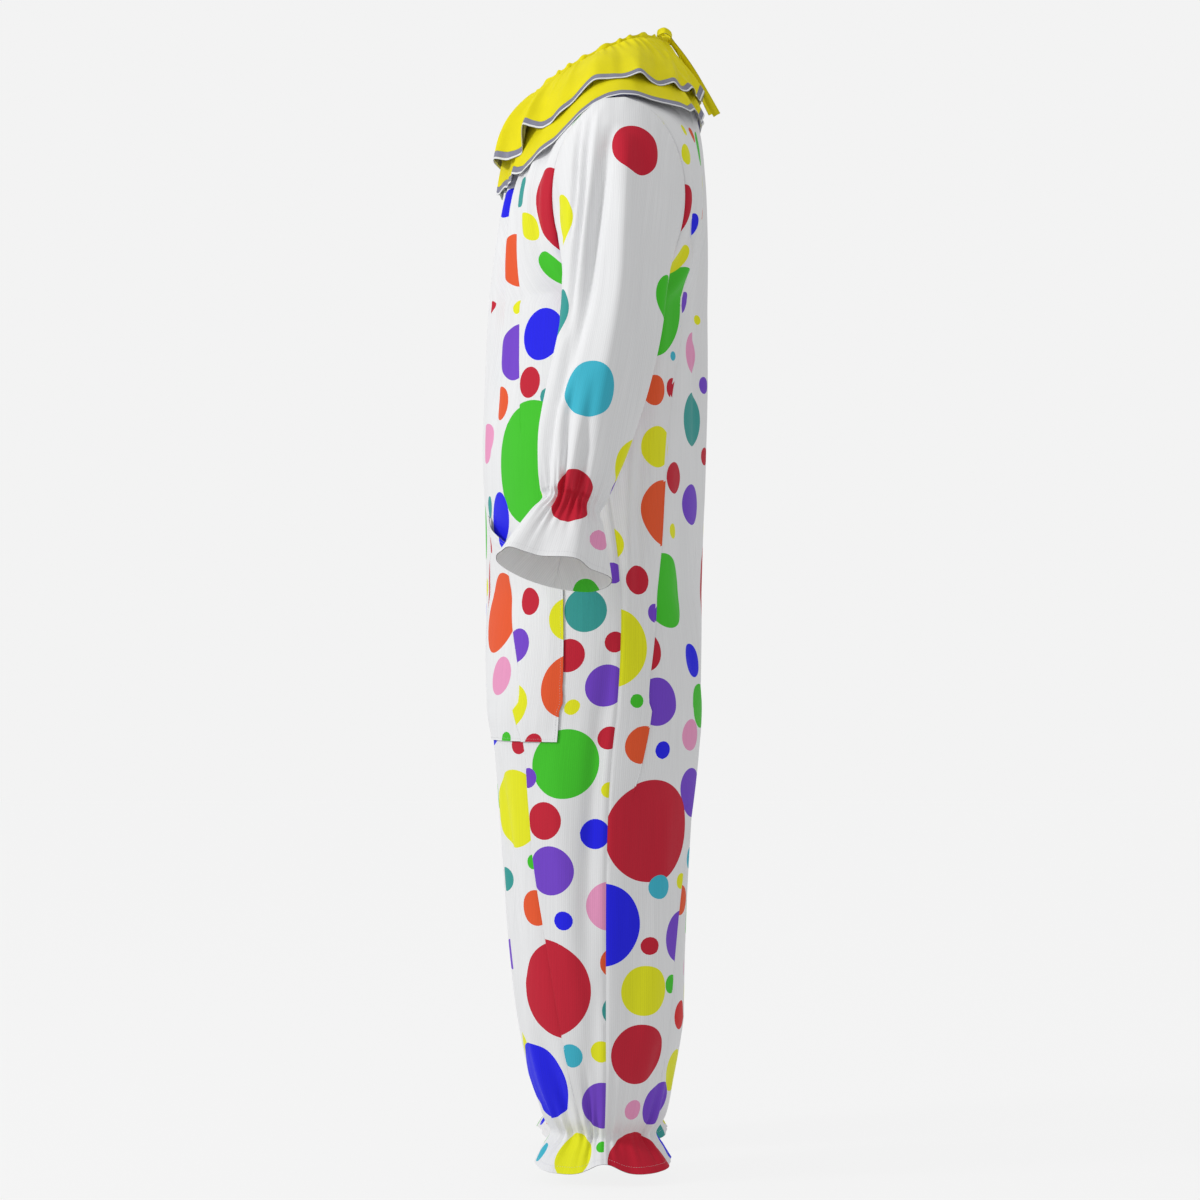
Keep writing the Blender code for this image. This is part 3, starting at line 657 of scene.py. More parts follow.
def panel_cloth(side, panel):
    """A front or back panel, in the wearer's left half; a right one is mirrored afterwards."""
    counts = PANEL_COLUMNS[len(LAPS[side, panel])]
    pleats = gathers(f"ankle {side} {panel}", PANEL_PLEATS)
    downs = steps((0.0, 0.30, 0.02), (0.30, 1.0, 0.03))
    heights = steps((UNDERARM, -1.25, 0.010), (-1.25, -1.335, 0.0055), (-1.335, -1.395, 0.0030))
    places = [(d * UNDERARM, d) for d in downs] + [(z, None) for z in heights[1:]]
    acrosses, grains, worn, shares, lengths, laps = [], [], [], [], [], []
    for z, down in places:
        row, row_shares, points, form = panel_row(side, panel, z, down, pleats)
        if z > DRAWN_FROM:
            widest = row.length
        fullness = max(1.0, widest / row.length)
        acrosses.append(row.places * fullness)
        grains.append(along(form, np.array([GRAIN_SHARE * row.length]))[0])
        worn.append(points)
        shares.append(row_shares)
        lengths.append(row.length * fullness)
        laps.append([(middle, 2 * strip) for middle, strip, _ in row.laps])
    worn = np.array(worn)
    worn[:, :, 0] = np.maximum(worn[:, :, 0], SEAM / 2)
    laps = np.array(laps)
    grain = run_length(np.array(grains))
    flat = squared(np.array(acrosses), np.array(shares), np.array(lengths), laps, grain)
    flat[:, :, 1] += -UNDERARM - grain[len(downs) - 1]
    starts = np.cumsum([0] + [count + LAP_COLUMNS for count in counts[:-2]]) + counts[:-1]
    folds = [start + k for start in starts for k in range(LAP_COLUMNS + 1)]
    cloth = Cloth(flat, worn, panel, folds)
    for k, start in enumerate(starts):
        middle = start + LAP_COLUMNS // 2
        cloth.laps.append((flat[:, middle, 1], flat[:, middle, 0], laps[:, k, 1]))
    cloth.heights = np.array([z for z, _ in places])
    cloth.shares = np.array(shares)
    return cloth


# The ankle frill's outward waves: share, width as a share, and height at the hem.
Wave = namedtuple("Wave", "share width height")
ANKLE_WAVES = {
    ("left", FRONT): named(
        Wave,
        (0.1, 0.1, -0.004), (0.3, 0.12, 0.005), (0.52, 0.1, -0.005), (0.74, 0.12, 0.005),
        (0.92, 0.08, -0.004),
    ),
    ("left", BACK): named(
        Wave,
        (0.09, 0.09, -0.004), (0.27, 0.12, 0.005), (0.48, 0.1, -0.006), (0.68, 0.1, 0.004),
        (0.88, 0.09, -0.005),
    ),
    ("right", FRONT): named(
        Wave,
        (0.12, 0.1, -0.005), (0.34, 0.12, 0.005), (0.55, 0.09, -0.004), (0.78, 0.11, 0.006),
        (0.93, 0.07, -0.003),
    ),
    ("right", BACK): named(
        Wave,
        (0.11, 0.09, -0.005), (0.31, 0.11, 0.004), (0.5, 0.12, -0.005), (0.72, 0.1, 0.005),
        (0.9, 0.08, -0.004),
    ),
}


# ---------------------------------------------------------------- sleeves
WRIST_STEP, CUFF_STEP = 10.1, 12.0   # the elastic's and the hem's places in the sleeve table
SLEEVE_COLUMNS = 182
WRIST_PLEATS, CAP_PLEATS = 30, 22
CAP_SPACING, CAP_TALL = 0.010, 0.0022
CAP_START = 0.004                # the cap's gathers are past their tallest by so much
CAP_EASE = 0.02                  # folds fade in over this, below the armhole


def sleeve_cloth(side):
    """A sleeve, from the armhole to the flared cuff, cut along its inner seam."""
    pleats = gathers(f"wrist {side}", WRIST_PLEATS)
    cap = gathers(f"cap {side}", CAP_PLEATS)
    places = steps((0, 8, 0.11), (8, 9.6, 0.07), (9.6, 10.6, 0.045), (10.6, CUFF_STEP, 0.055))
    shares = np.linspace(0, 1, SLEEVE_COLUMNS + 1)
    angles = (shares - 0.5) * 2 * math.pi
    form = np.array([sleeve_point(sleeve_ring(step), angles) for step in places])
    out = grid_normals(form, -1)
    out[:, 0] = out[:, -1] = unit(out[:, 0] + out[:, -1])
    run = run_length(form[:, :-1].mean(axis=1))
    wrist = float(np.interp(WRIST_STEP, places, run))
    worn = form.copy()
    for i, step in enumerate(places):
        around = run_length(form[i])[-1]
        height = drawn_in(pleats, shares, wrist - run[i], around, WRIST_ELASTIC)
        height -= SEAM_DIP * bell(run[i], SEAM_HALF)
        height += gathered(cap, shares, run[i] + CAP_START, around, CAP_SPACING, CAP_TALL)
        for soft in SLEEVE_SOFT[side]:
            found = soft_at(soft, step)
            if found:
                height += found[1] * bell(round_ring(shares - found[0]) * around, soft.width)
        flare = max(0.0, (step - WRIST_STEP) / (CUFF_STEP - WRIST_STEP))
        height += flare * waved(CUFF_WAVES[side], lambda share: round_ring(shares - share))
        worn[i] += out[i] * (height * soft_step(min(1.0, run[i] / CAP_EASE)))[:, None]
    down = np.array([run_length(column) for column in form.transpose(1, 0, 2)]).T
    at_wrist = np.array([np.interp(WRIST_STEP, places, column) for column in down.T])
    across = np.array([run_length(row) for row in worn])
    across = eased(across - across[:, SLEEVE_COLUMNS // 2, None], run, 0.035)
    return Cloth(np.stack([across, down - at_wrist], axis=2), worn, -1)


# Sleeve folds: shares round the sleeve (0.5 is the outer line, 0.25 the back and 0.75 the front),
# from and to steps of the sleeve table.
SLEEVE_SOFT = {
    "left": named(
        Soft,
        (0.6, 0.655, 1.1, 3.8, 0.006, -0.007), (0.57, 0.655, 1.3, 5.6, 0.007, -0.0095),
        (0.545, 0.6, 1.2, 4.6, 0.006, 0.0035), (0.515, 0.608, 1.9, 6.8, 0.011, -0.014),
        (0.478, 0.462, 2.1, 7.6, 0.015, 0.0115), (0.42, 0.385, 2.1, 7.6, 0.015, -0.007),
        (0.385, 0.35, 0.8, 3.2, 0.01, -0.0035), (0.623, 0.645, 4.8, 10.1, 0.009, -0.0085),
        (0.564, 0.548, 6.4, 9.8, 0.0055, -0.0055), (0.494, 0.455, 6.4, 10, 0.006, -0.0055),
        (0.59, 0.59, 6, 9.8, 0.009, 0.004), (0.52, 0.508, 6.2, 9.9, 0.01, 0.0045),
        (0.43, 0.42, 6.2, 9.9, 0.01, 0.0035), (0.735, 0.75, 0.6, 4.6, 0.016, -0.005),
        (0.7, 0.7, 4.8, 9.9, 0.011, 0.0045), (0.34, 0.37, 3, 9.8, 0.014, -0.006),
        (0.28, 0.31, 2.5, 9, 0.014, 0.004), (0.2, 0.2, 2.5, 9, 0.013, -0.005),
        (0.85, 0.84, 2.5, 9.2, 0.012, -0.005), (0.1, 0.1, 4, 9.2, 0.012, 0.0045),
        (0.93, 0.93, 4.5, 9.2, 0.01, 0.004),
    ),
    "right": named(
        Soft,
        (0.44, 0.41, 0.6, 9, 0.013, -0.0055), (0.5, 0.47, 1, 8, 0.012, 0.004),
        (0.36, 0.35, 1.2, 9.4, 0.013, -0.005), (0.57, 0.54, 1.8, 9.5, 0.014, -0.005),
        (0.65, 0.6, 2.5, 9, 0.014, 0.004), (0.72, 0.68, 2, 9.4, 0.012, -0.005),
        (0.28, 0.28, 1.5, 9, 0.012, 0.0035), (0.82, 0.8, 2.5, 9.2, 0.012, -0.004),
        (0.16, 0.17, 2.5, 9.2, 0.012, -0.004), (0.9, 0.91, 4, 9, 0.012, 0.0035),
        (0.5, 0.49, 6.2, 9.7, 0.008, -0.003), (0.61, 0.58, 6.4, 9.7, 0.008, -0.003),
    ),
}
CUFF_WAVES = {
    "left": named(
        Wave,
        (0.06, 0.05, 0.004), (0.17, 0.05, -0.005), (0.29, 0.045, 0.005), (0.375, 0.035, -0.004),
        (0.435, 0.035, 0.005), (0.535, 0.055, -0.01), (0.63, 0.03, 0.005), (0.82, 0.05, 0.003),
        (0.9, 0.05, -0.005),
    ),
    "right": named(
        Wave,
        (0.08, 0.05, -0.004), (0.2, 0.05, 0.005), (0.33, 0.05, -0.005), (0.46, 0.06, 0.005),
        (0.58, 0.05, -0.004), (0.7, 0.05, 0.005), (0.82, 0.05, -0.005), (0.94, 0.05, 0.004),
    ),
}


# ---------------------------------------------------------------- cutting the print
Spot = namedtuple("Spot", "colour x y radius seen")
OUTLINE = 0.0045                 # spacing of the points on a dot's outline


def spot_outline(spot):
    """Points round a dot's outline."""
    count = int(np.clip(round(2 * math.pi * spot.radius / OUTLINE), 14, 72))
    turns = np.arange(count) * 2 * math.pi / count
    return np.stack([spot.x + spot.radius * np.cos(turns), spot.y + spot.radius * np.sin(turns)], 1)


def cut_print(cloth, spots):
    """Triangles of the flat cloth, cut along each dot's outline, and the colour of each."""
    rows, columns = cloth.flat.shape[:2]
    index = np.arange(rows * columns).reshape(rows, columns)
    points = [Vector(p) for p in cloth.flat.reshape(-1, 2)]
    edges = [(int(a), int(b)) for a, b in zip(index[0, :-1], index[0, 1:])]
    edges += [(int(a), int(b)) for a, b in zip(index[-1, :-1], index[-1, 1:])]
    for j in (0, columns - 1, *cloth.folds):
        edges += [(int(a), int(b)) for a, b in zip(index[:-1, j], index[1:, j])]
    rings = [spot_outline(spot) for spot in spots]
    if cloth.border is not None:
        rings.append(cloth.border)
    for ring in rings:
        first = len(points)
        points += [Vector(p) for p in ring]
        edges += [(first + k, first + (k + 1) % len(ring)) for k in range(len(ring))]
    cut = delaunay_2d_cdt(points, edges, [], 0, 1e-6)
    flat = np.array([tuple(p) for p in cut[0]])
    triangles = np.array([f for f in cut[2] if len(f) == 3])
    middles = flat[triangles].mean(axis=1)
    kept = cloth.weights(middles)[0] >= 0
    if cloth.border is not None:
        kept &= enclosed(cloth.border, middles)
    triangles = triangles[kept]
    middles = middles[kept]
    colours = np.zeros(len(triangles), int)
    names = list(COLOURS)
    for spot in spots:
        inside = np.hypot(middles[:, 0] - spot.x, middles[:, 1] - spot.y) < spot.radius
        if spot.seen is not None:
            inside &= cloth.same_side(middles, spot.seen)
        colours[inside] = names.index(spot.colour)
    return flat, triangles, colours


def print_piece(name, cloth, spots, side):
    """A piece of printed cloth."""
    flat, triangles, colours = cut_print(cloth, spots)
    used = np.unique(triangles)
    order = np.full(len(flat), -1)
    order[used] = np.arange(len(used))
    flat = flat[used]
    triangles = order[triangles]
    outer, normals, held = cloth.carry(flat)
    if not held.all():
        outer[~held], normals[~held] = nearest_nodes(cloth, flat[~held])
    facing = face_side(outer, triangles, normals)
    triangles[~facing] = triangles[~facing][:, ::-1]
    return walled(name, outer, normals, triangles.tolist(), flat, CLOTH, PRINT, side, colours)


def linked(name, data):
    """A new object in the scene."""
    made = bpy.data.objects.new(name, data)
    bpy.context.scene.collection.objects.link(made)
    return made


def built(name, points, faces, flat, finish):
    """A mesh in the scene, smooth, whose Pattern map holds its flat coordinates."""
    mesh = bpy.data.meshes.new(name)
    mesh.from_pydata(points.tolist(), [], faces)
    pattern = mesh.uv_layers.new(name="Pattern")
    loops = np.empty(len(mesh.loops), int)
    mesh.loops.foreach_get("vertex_index", loops)
    pattern.data.foreach_set("uv", flat[loops].ravel())
    mesh.shade_smooth()
    mesh.materials.append(finish)
    return linked(name, mesh)


def walled(name, outer, normals, faces, flat, wall, finish, side="left", colours=None,
           reverse=None):
    """A piece of cloth with a real wall behind its outer skin, mirrored for the right side."""
    count = len(outer)
    rim = open_edges(faces)
    skins = faces + [[k + count for k in face[::-1]] for face in faces]
    skins += [[b, a, a + count, b + count] for a, b in rim]
    points = np.concatenate([outer, outer - wall * normals])
    normals = np.concatenate([normals, -normals])
    if side == "right":
        points[:, 0] *= -1
        normals[:, 0] *= -1
        skins = [face[::-1] for face in skins]
    made = built(f"{name}_cloth", points, skins, np.concatenate([flat, flat]), finish)
    mesh = made.data
    if colours is not None:
        # The rim faces between the two skins get the grey "edge" colour: painted shade for a cut
        # edge in shadow.
        ink_and_rim_shade_index = np.concatenate([colours, colours, np.full(len(rim), list(COLOURS).index("edge"))])
        corners = np.array([len(face) for face in skins])
        palette = np.array([(*COLOURS[c], 1.0) for c in COLOURS])
        ink_and_rim_shade = mesh.color_attributes.new("InkAndRimShade", "FLOAT_COLOR", "CORNER")
        ink_and_rim_shade.data.foreach_set("color", np.repeat(palette[ink_and_rim_shade_index], corners, axis=0).ravel())
    mesh.normals_split_custom_set_from_vertices(normals.tolist())
    if reverse is not None:
        mesh.materials.append(reverse)
        behind = np.zeros(len(skins), int)
        behind[len(faces):2 * len(faces)] = 1
        mesh.polygons.foreach_set("material_index", behind)
    return made


def grid_faces(rows, columns):
    """Four-sided faces of a grid of points, in the order of its rows."""
    index = np.arange(rows * columns).reshape(rows, columns)
    corners = [index[:-1, :-1], index[1:, :-1], index[1:, 1:], index[:-1, 1:]]
    return np.stack([c.ravel() for c in corners], axis=1).tolist()


def grid_piece(name, points, flat, wall, finish, outward=1, side="left", reverse=None):
    """A piece of plain cloth on a grid; outward is 1 if down x across faces out."""
    rows, columns = points.shape[:2]
    normals = grid_normals(points, outward)
    faces = grid_faces(rows, columns)
    if outward < 0:
        faces = [face[::-1] for face in faces]
    return walled(name, points.reshape(-1, 3), normals.reshape(-1, 3), faces,
                  flat.reshape(-1, 2), wall, finish, side, reverse=reverse)


def nearest_nodes(cloth, spots):
    """Worn points and normals at the places of the cloth nearest to flat spots on its edge."""
    worn = np.empty((len(spots), 3))
    normals = np.empty((len(spots), 3))
    for k, (x, y) in enumerate(spots):
        place, _, face, _ = cloth.flat_tree.find_nearest(Vector((x, y, 0.0)))
        corners = cloth.triangles[face]
        flat = cloth.flat.reshape(-1, 2)[corners][None]
        weight = corner_weights(np.array([place[:2]]), flat)[0][:, None]
        worn[k] = (cloth.worn.reshape(-1, 3)[corners] * weight).sum(0)
        normals[k] = (cloth.normals.reshape(-1, 3)[corners] * weight).sum(0)
    return worn, unit(normals)


def face_side(points, triangles, normals):
    """Whether each triangle already faces the way of its normals."""
    a, b, c = (points[triangles[:, k]] for k in range(3))
    ways = np.cross(b - a, c - a)
    return (ways * normals[triangles].sum(axis=1)).sum(axis=1) > 0


def open_edges(faces):
    """Directed edges that only one face has."""
    seen = {}
    for face in faces:
        for edge in zip(face, face[1:] + face[:1]):
            seen[edge] = True
    return [edge for edge in seen if edge[::-1] not in seen]


# A stitch: its length, the gap to the next, its width and thickness, and how far it lies out.
STITCH, STITCH_GAP = 0.0022, 0.0011
STITCH_WIDE, STITCH_THICK, STITCH_OUT = 0.00050, 0.00022, 0.00008


def stitched(name, lines, finish, side="left"):
    """Rows of small raised stitches on lines of (points, outward normals)."""
    points, faces = [], []
    for line, normals in lines:
        run = run_length(line)
        count = int(run[-1] / (STITCH + STITCH_GAP))
        middles = (np.arange(count) + 0.5) * run[-1] / max(1, count)
        at = along(line, middles)
        ahead = unit(along(line, middles + STITCH / 2) - along(line, middles - STITCH / 2))
        out = unit(np.stack([np.interp(middles, run, normals[:, k]) for k in range(3)], axis=1))
        across = np.cross(ahead, out)
        for centre, way, up, over in zip(at, ahead, out, across):
            first = len(points)
            raised = centre + up * STITCH_OUT
            points += [raised - way * STITCH / 2, raised + way * STITCH / 2,
                       raised - over * STITCH_WIDE / 2, raised + up * STITCH_THICK,
                       raised + over * STITCH_WIDE / 2, raised - up * STITCH_THICK]
            for a, b in ((2, 3), (3, 4), (4, 5), (5, 2)):
                faces.append([first, first + b, first + a])
                faces.append([first + 1, first + a, first + b])
    points = np.array(points)
    if side == "right":
        points[:, 0] *= -1
        faces = [face[::-1] for face in faces]
    return built(f"{name}_stitches", points, faces, points[:, 1:], finish)


# ---------------------------------------------------------------- materials
class Finish:
    """A material whose nodes are added and joined by short calls."""

    def __init__(self, name, roughness, **sockets):
        self.material = bpy.data.materials.new(name)
        self.material.use_nodes = True
        self.tree = self.material.node_tree
        self.shader = self.tree.nodes["Principled BSDF"]
        self.shader.inputs["Roughness"].default_value = roughness
        for socket, value in sockets.items():
            self.shader.inputs[socket.replace("_", " ")].default_value = value

    def node(self, kind, inputs=None, **settings):
        made = self.tree.nodes.new(f"ShaderNode{kind}")
        for key, value in settings.items():
            setattr(made, key, value)
        for socket, value in (inputs or {}).items():
            if isinstance(value, bpy.types.NodeSocket):
                self.tree.links.new(value, made.inputs[socket])
            else:
                made.inputs[socket].default_value = value
        return made

    def pattern(self, scale):
        """The cloth's flat coordinates in metres, stretched for a texture."""
        place = self.node("UVMap", uv_map="Pattern")
        stretched = self.node("Mapping", {"Vector": place.outputs["UV"], "Scale": scale})
        return stretched.outputs["Vector"]

    def noise(self, vector, scale, detail=2.0, rough=0.5):
        made = self.node("TexNoise", {"Vector": vector, "Scale": scale, "Detail": detail,
                                      "Roughness": rough})
        return made.outputs["Fac"]

    def bands(self, vector, spacing, distortion=0.0, direction="X"):
        made = self.node("TexWave", {"Vector": vector, "Scale": 2 * math.pi / 20 / spacing,
                                     "Distortion": distortion, "Detail": 1.0,
                                     "Detail Scale": 1.5},
                         wave_type="BANDS", bands_direction=direction, wave_profile="SIN")
        return made.outputs["Fac"]

    def ramp(self, value, low, high, to_low, to_high):
        made = self.node("MapRange", {"Value": value, "From Min": low, "From Max": high,
                                      "To Min": to_low, "To Max": to_high})
        return made.outputs["Result"]

    def times(self, first, second):
        return self.node("Math", {0: first, 1: second}, operation="MULTIPLY").outputs[0]

    def plus(self, first, second):
        return self.node("Math", {0: first, 1: second}, operation="ADD").outputs[0]

    def shaded(self, colour, value):
        """A colour times a number that varies over the cloth."""
        made = self.node("VectorMath", {0: colour, "Scale": value}, operation="SCALE")
        self.tree.links.new(made.outputs["Vector"], self.shader.inputs["Base Color"])

    def bumped(self, height, strength, distance):
        made = self.node("Bump", {"Height": height, "Strength": strength, "Distance": distance})
        self.tree.links.new(made.outputs["Normal"], self.shader.inputs["Normal"])


def printed_finish():
    """Fine crepe with vertical ribs, printed with dots; thread lies unevenly along the grain."""
    made = Finish("printed_crepe", 0.60, Sheen_Weight=0.03, Sheen_Roughness=0.35,
                  Specular_IOR_Level=0.10)
    # The vertex colours hold the printed dots, and also the painted shade of the grey rim faces.
    ink_and_rim_shade = made.node("VertexColor", layer_name="InkAndRimShade").outputs["Color"]
    flat = made.pattern((1.0, 1.0, 1.0))
    ribs = made.bands(flat, 0.0025, 0.35)
    streaks = made.noise(made.pattern((420.0, 9.0, 1.0)), 1.0, 2.0, 0.6)
    weave = made.noise(made.pattern((1500.0, 900.0, 1.0)), 1.0, 1.0)
    cloudy = made.noise(flat, 9.0, 2.0)
    tone = made.ramp(ribs, 0.0, 1.0, 0.945, 1.0)
    tone = made.times(tone, made.ramp(streaks, 0.3, 0.7, 0.955, 1.02))
    tone = made.times(tone, made.ramp(weave, 0.25, 0.75, 0.975, 1.015))
    tone = made.times(tone, made.ramp(cloudy, 0.3, 0.7, 0.985, 1.01))
    made.shaded(ink_and_rim_shade, tone)
    height = made.plus(made.times(ribs, 0.7), made.times(weave, 0.35))
    made.bumped(made.plus(height, made.times(streaks, 0.5)), 0.32, 0.00028)
    return made.material


def plain_finish(name, colour, roughness, rib, along_rib, depth, **sockets):
    """Plain woven cloth: threads across it at one spacing and along it at another."""
    made = Finish(name, roughness, **sockets)
    flat = made.pattern((1.0, 1.0, 1.0))
    warp = made.bands(flat, rib, 0.3)
    weft = made.bands(flat, along_rib, 0.3, "Y")
    fuzz = made.noise(flat, 1400.0, 2.0)
    cloudy = made.noise(flat, 35.0, 2.0)
    tone = made.ramp(warp, 0.0, 1.0, 0.93, 1.0)
    tone = made.times(tone, made.ramp(weft, 0.0, 1.0, 0.95, 1.0))
    tone = made.times(tone, made.ramp(fuzz, 0.3, 0.7, 0.95, 1.04))
    tone = made.times(tone, made.ramp(cloudy, 0.3, 0.7, 0.97, 1.03))
    base = made.node("RGB").outputs[0]
    base.default_value = (*colour, 1.0)
    made.shaded(base, tone)
    height = made.plus(made.times(warp, 0.6), made.plus(made.times(weft, 0.4), fuzz))
    made.bumped(height, depth, 0.0002)
    return made.material


PRINT = printed_finish()
YELLOW = plain_finish("yellow_poplin", (0.86, 0.765, 0.012), 0.58, 0.0011, 0.0009, 0.35,
                      Sheen_Weight=0.0, Sheen_Roughness=0.35, Specular_IOR_Level=0.07)
GREY = plain_finish("grey_satin_ribbon", (0.225, 0.228, 0.325), 0.38, 0.0006, 0.0014, 0.30,
                    Sheen_Weight=0.15, Sheen_Roughness=0.3, Specular_IOR_Level=0.5)
WHITE = plain_finish("white_edging", (0.84, 0.85, 0.86), 0.55, 0.0008, 0.0008, 0.35,
                     Sheen_Weight=0.2, Sheen_Roughness=0.4, Specular_IOR_Level=0.35)
REVERSE = plain_finish("yellow_poplin_reverse", (0.74, 0.74, 0.72), 0.6, 0.0011, 0.0009, 0.35,
                       Sheen_Weight=0.03, Sheen_Roughness=0.35, Specular_IOR_Level=0.12)
GREY_THREAD = plain_finish("grey_thread", (0.30, 0.305, 0.38), 0.5, 0.0004, 0.0008, 0.4,
                           Sheen_Weight=0.1, Sheen_Roughness=0.4, Specular_IOR_Level=0.3)
THREAD = plain_finish("sewing_thread", (0.74, 0.75, 0.77), 0.5, 0.0004, 0.0008, 0.4,
                      Sheen_Weight=0.2, Sheen_Roughness=0.4, Specular_IOR_Level=0.35)


# ---------------------------------------------------------------- the chart of dots
# Dots that the camera sees, in the photograph's pixels: a place on the dot and its radius. hold is
# 0 if the place is the dot's middle, -1 if it is its left end and 1 if it is its right end; with
# -2 and 2 the dot also shows on the other side of a lap. The middle lies lower by drop, past a hem.
Dot = namedtuple("Dot", "colour x y radius hold drop", defaults=[0, 0])
CHART = {
    "sleeve_left": named(
        Dot,
        ("red", 637, 149, 28), ("cyan", 589, 388, 28), ("red", 573, 495, 27),
        ("yellow", 573, 217, 28, 1), ("teal", 568, 314, 27, 1), ("green", 656, 292, 22, -1),
        ("yellow", 616, 460, 28, -1), ("purple", 612, 488, 12, -1), ("pink", 600, 540, 11),
        ("green", 589, 588, 19, 0, 10),
    ),
    "front_left": named(
        Dot,
        ("red", 536, 200, 46, -1), ("blue", 508, 203, 19), ("teal", 521, 192, 17),
        ("yellow", 539, 229, 15, 1), ("orange", 514, 260, 30), ("green", 541, 268, 22, -1),
        ("red", 496, 306, 10, 1), ("yellow", 513, 308, 8, -1), ("purple", 516, 352, 31),
        ("yellow", 552, 326, 11, -1), ("blue", 524, 337, 27, -1), ("red", 540, 381, 16, 1),
        ("teal", 546, 396, 8), ("orange", 508, 404, 17, 1), ("green", 501, 466, 63, -2),
        ("pink", 493, 443, 16, 1), ("blue", 509, 516, 26, 1), ("teal", 607, 610, 21.5, 1),
        ("red", 585, 655, 16.5, 1), ("red", 615, 642, 10.5), ("purple", 585, 686, 21, -1),
        ("yellow", 580, 707, 8, 1), ("red", 609, 738, 11.5), ("yellow", 611, 790, 8),
        ("purple", 613, 573, 10.5), ("red", 519, 744, 11), ("green", 564, 764, 35),
        ("yellow", 513, 808, 41), ("purple", 528, 778, 10.5), ("red", 561, 822, 19, 1),
        ("blue", 580, 834, 15, -1), ("purple", 574, 872, 24.5, 1), ("green", 533, 862, 7.5),
        ("teal", 506, 879, 12.5), ("orange", 536, 908, 18), ("blue", 563, 921, 9.5),
        ("pink", 586, 906, 24.5, -1), ("purple", 511, 954, 16), ("red", 591, 991, 49.5, 2),
        ("orange", 600, 963, 15.5, -1), ("teal", 602, 1011, 16, -1), ("yellow", 525, 1047, 16.5),
        ("blue", 568, 1090, 42.5, 1), ("cyan", 571, 1056, 12), ("yellow", 601, 1052, 11),
        ("purple", 582, 1106, 26, -1), ("yellow", 575, 1152, 26, 0, 5), ("green", 602, 1147, 9),
        ("cyan", 541, 1152, 11),
    ),
    "pocket_left": named(
        Dot,
        ("blue", 504, 538, 12), ("red", 491, 545, 8), ("orange", 512, 606, 38, 1),
        ("red", 530, 601, 13.5), ("purple", 529, 644, 16.5, 1), ("yellow", 549, 620, 21, -1),
        ("pink", 511, 673, 19, 1), ("yellow", 527, 705, 24.5, 1), ("orange", 541, 688, 32.5, -1),
        ("green", 506, 739, 8), ("red", 533, 743, 10),
    ),
    "back_left": named(
        Dot,
        ("orange", 655, 390, 15.5), ("red", 672, 388, 10.5), ("cyan", 673, 356, 5),
        ("yellow", 641, 446, 21, -1), ("orange", 641, 513, 33.5, -1), ("yellow", 624, 543, 18, 1),
        ("red", 637, 580, 14.5), ("purple", 648, 613, 9.5, -1), ("yellow", 647, 648, 40, 1),
        ("green", 637, 701, 7), ("orange", 625, 745, 19, -1), ("green", 680, 312, 52, 1),
        ("yellow", 684, 130, 6), ("yellow", 687, 154, 11), ("orange", 692, 135, 7.5),
        ("green", 699, 149, 16), ("blue", 698, 225, 14, 1), ("red", 692, 202, 28, 1),
        ("yellow", 688, 257, 17, 1), ("purple", 686, 305, 13, 1), ("yellow", 697, 320, 6),
        ("pink", 695, 357, 23, 1), ("purple", 699, 384, 10, -1), ("teal", 700, 422, 29.5, 1),
        ("red", 680, 478, 16.5, 1), ("red", 701, 456, 10.5, -1), ("purple", 682, 505, 22, -1),
        ("yellow", 673, 531, 8), ("green", 665, 590, 37), ("red", 700, 593, 40, -1),
        ("red", 661, 652, 19.5, 1), ("blue", 686, 659, 16, -1), ("purple", 676, 702, 24.5, 1),
        ("green", 693, 705, 27, -1), ("pink", 691, 735, 19), ("blue", 663, 750, 9.5),
        ("purple", 692, 790, 24.5), ("red", 685, 824, 50, 2), ("cyan", 690, 858, 10.5),
        ("cyan", 660, 887, 12), ("yellow", 681, 881, 8), ("orange", 691, 898, 15.5, 1),
        ("blue", 640, 924, 41.5, 1), ("red", 650, 946, 9), ("purple", 666, 939, 26, -1),
        ("pink", 687, 963, 12.5, 1), ("yellow", 645, 991, 25), ("green", 671, 984, 9.5),
        ("scarlet", 683, 1010, 15.5, 1), ("red", 661, 1052, 30.5, 1),
        ("yellow", 666, 1075, 20.5, -1), ("pink", 633, 1110, 11), ("purple", 657, 1104, 23),
        ("red", 640, 1158, 46, 0, 16),
    ),
}
# Which way the flat cloth's x runs in the photograph: -1 to its left.
HEADING = {"front_left": -1, "pocket_left": -1, "sleeve_left": -1, "back_left": 1}
TRIED_PIXELS = 14                # where the chart's place misses the cloth, this many are tried


def charted(name, cloth):
    """The chart's dots as spots on the flat cloth."""
    cloth.see()
    spots = []
    for dot in CHART[name]:
        end = np.sign(dot.hold)
        for inward in range(TRIED_PIXELS):
            step = -end * inward if end else (inward + 1) // 2 * (-1) ** inward
            at = cloth.place_seen(dot.x + step, dot.y)
            if at is not None:
                break
        if at is None:
            continue
        radius = seen_size(dot.radius)
        towards = -end * HEADING[name] * radius
        within = cloth.place_seen(dot.x + step - 4 * end, dot.y)
        seen = tuple(at if within is None else within)
        if abs(dot.hold) == 2:
            seen = None
        spots.append(Spot(dot.colour, at[0] + towards, at[1] + seen_size(dot.drop), radius, seen))
    return spots


GRAZING = 0.09                   # cloth turned further from the camera than this isn't seen
SIGHT_GAP = 0.004                # sight is tested from so far off the cloth, past its own folds


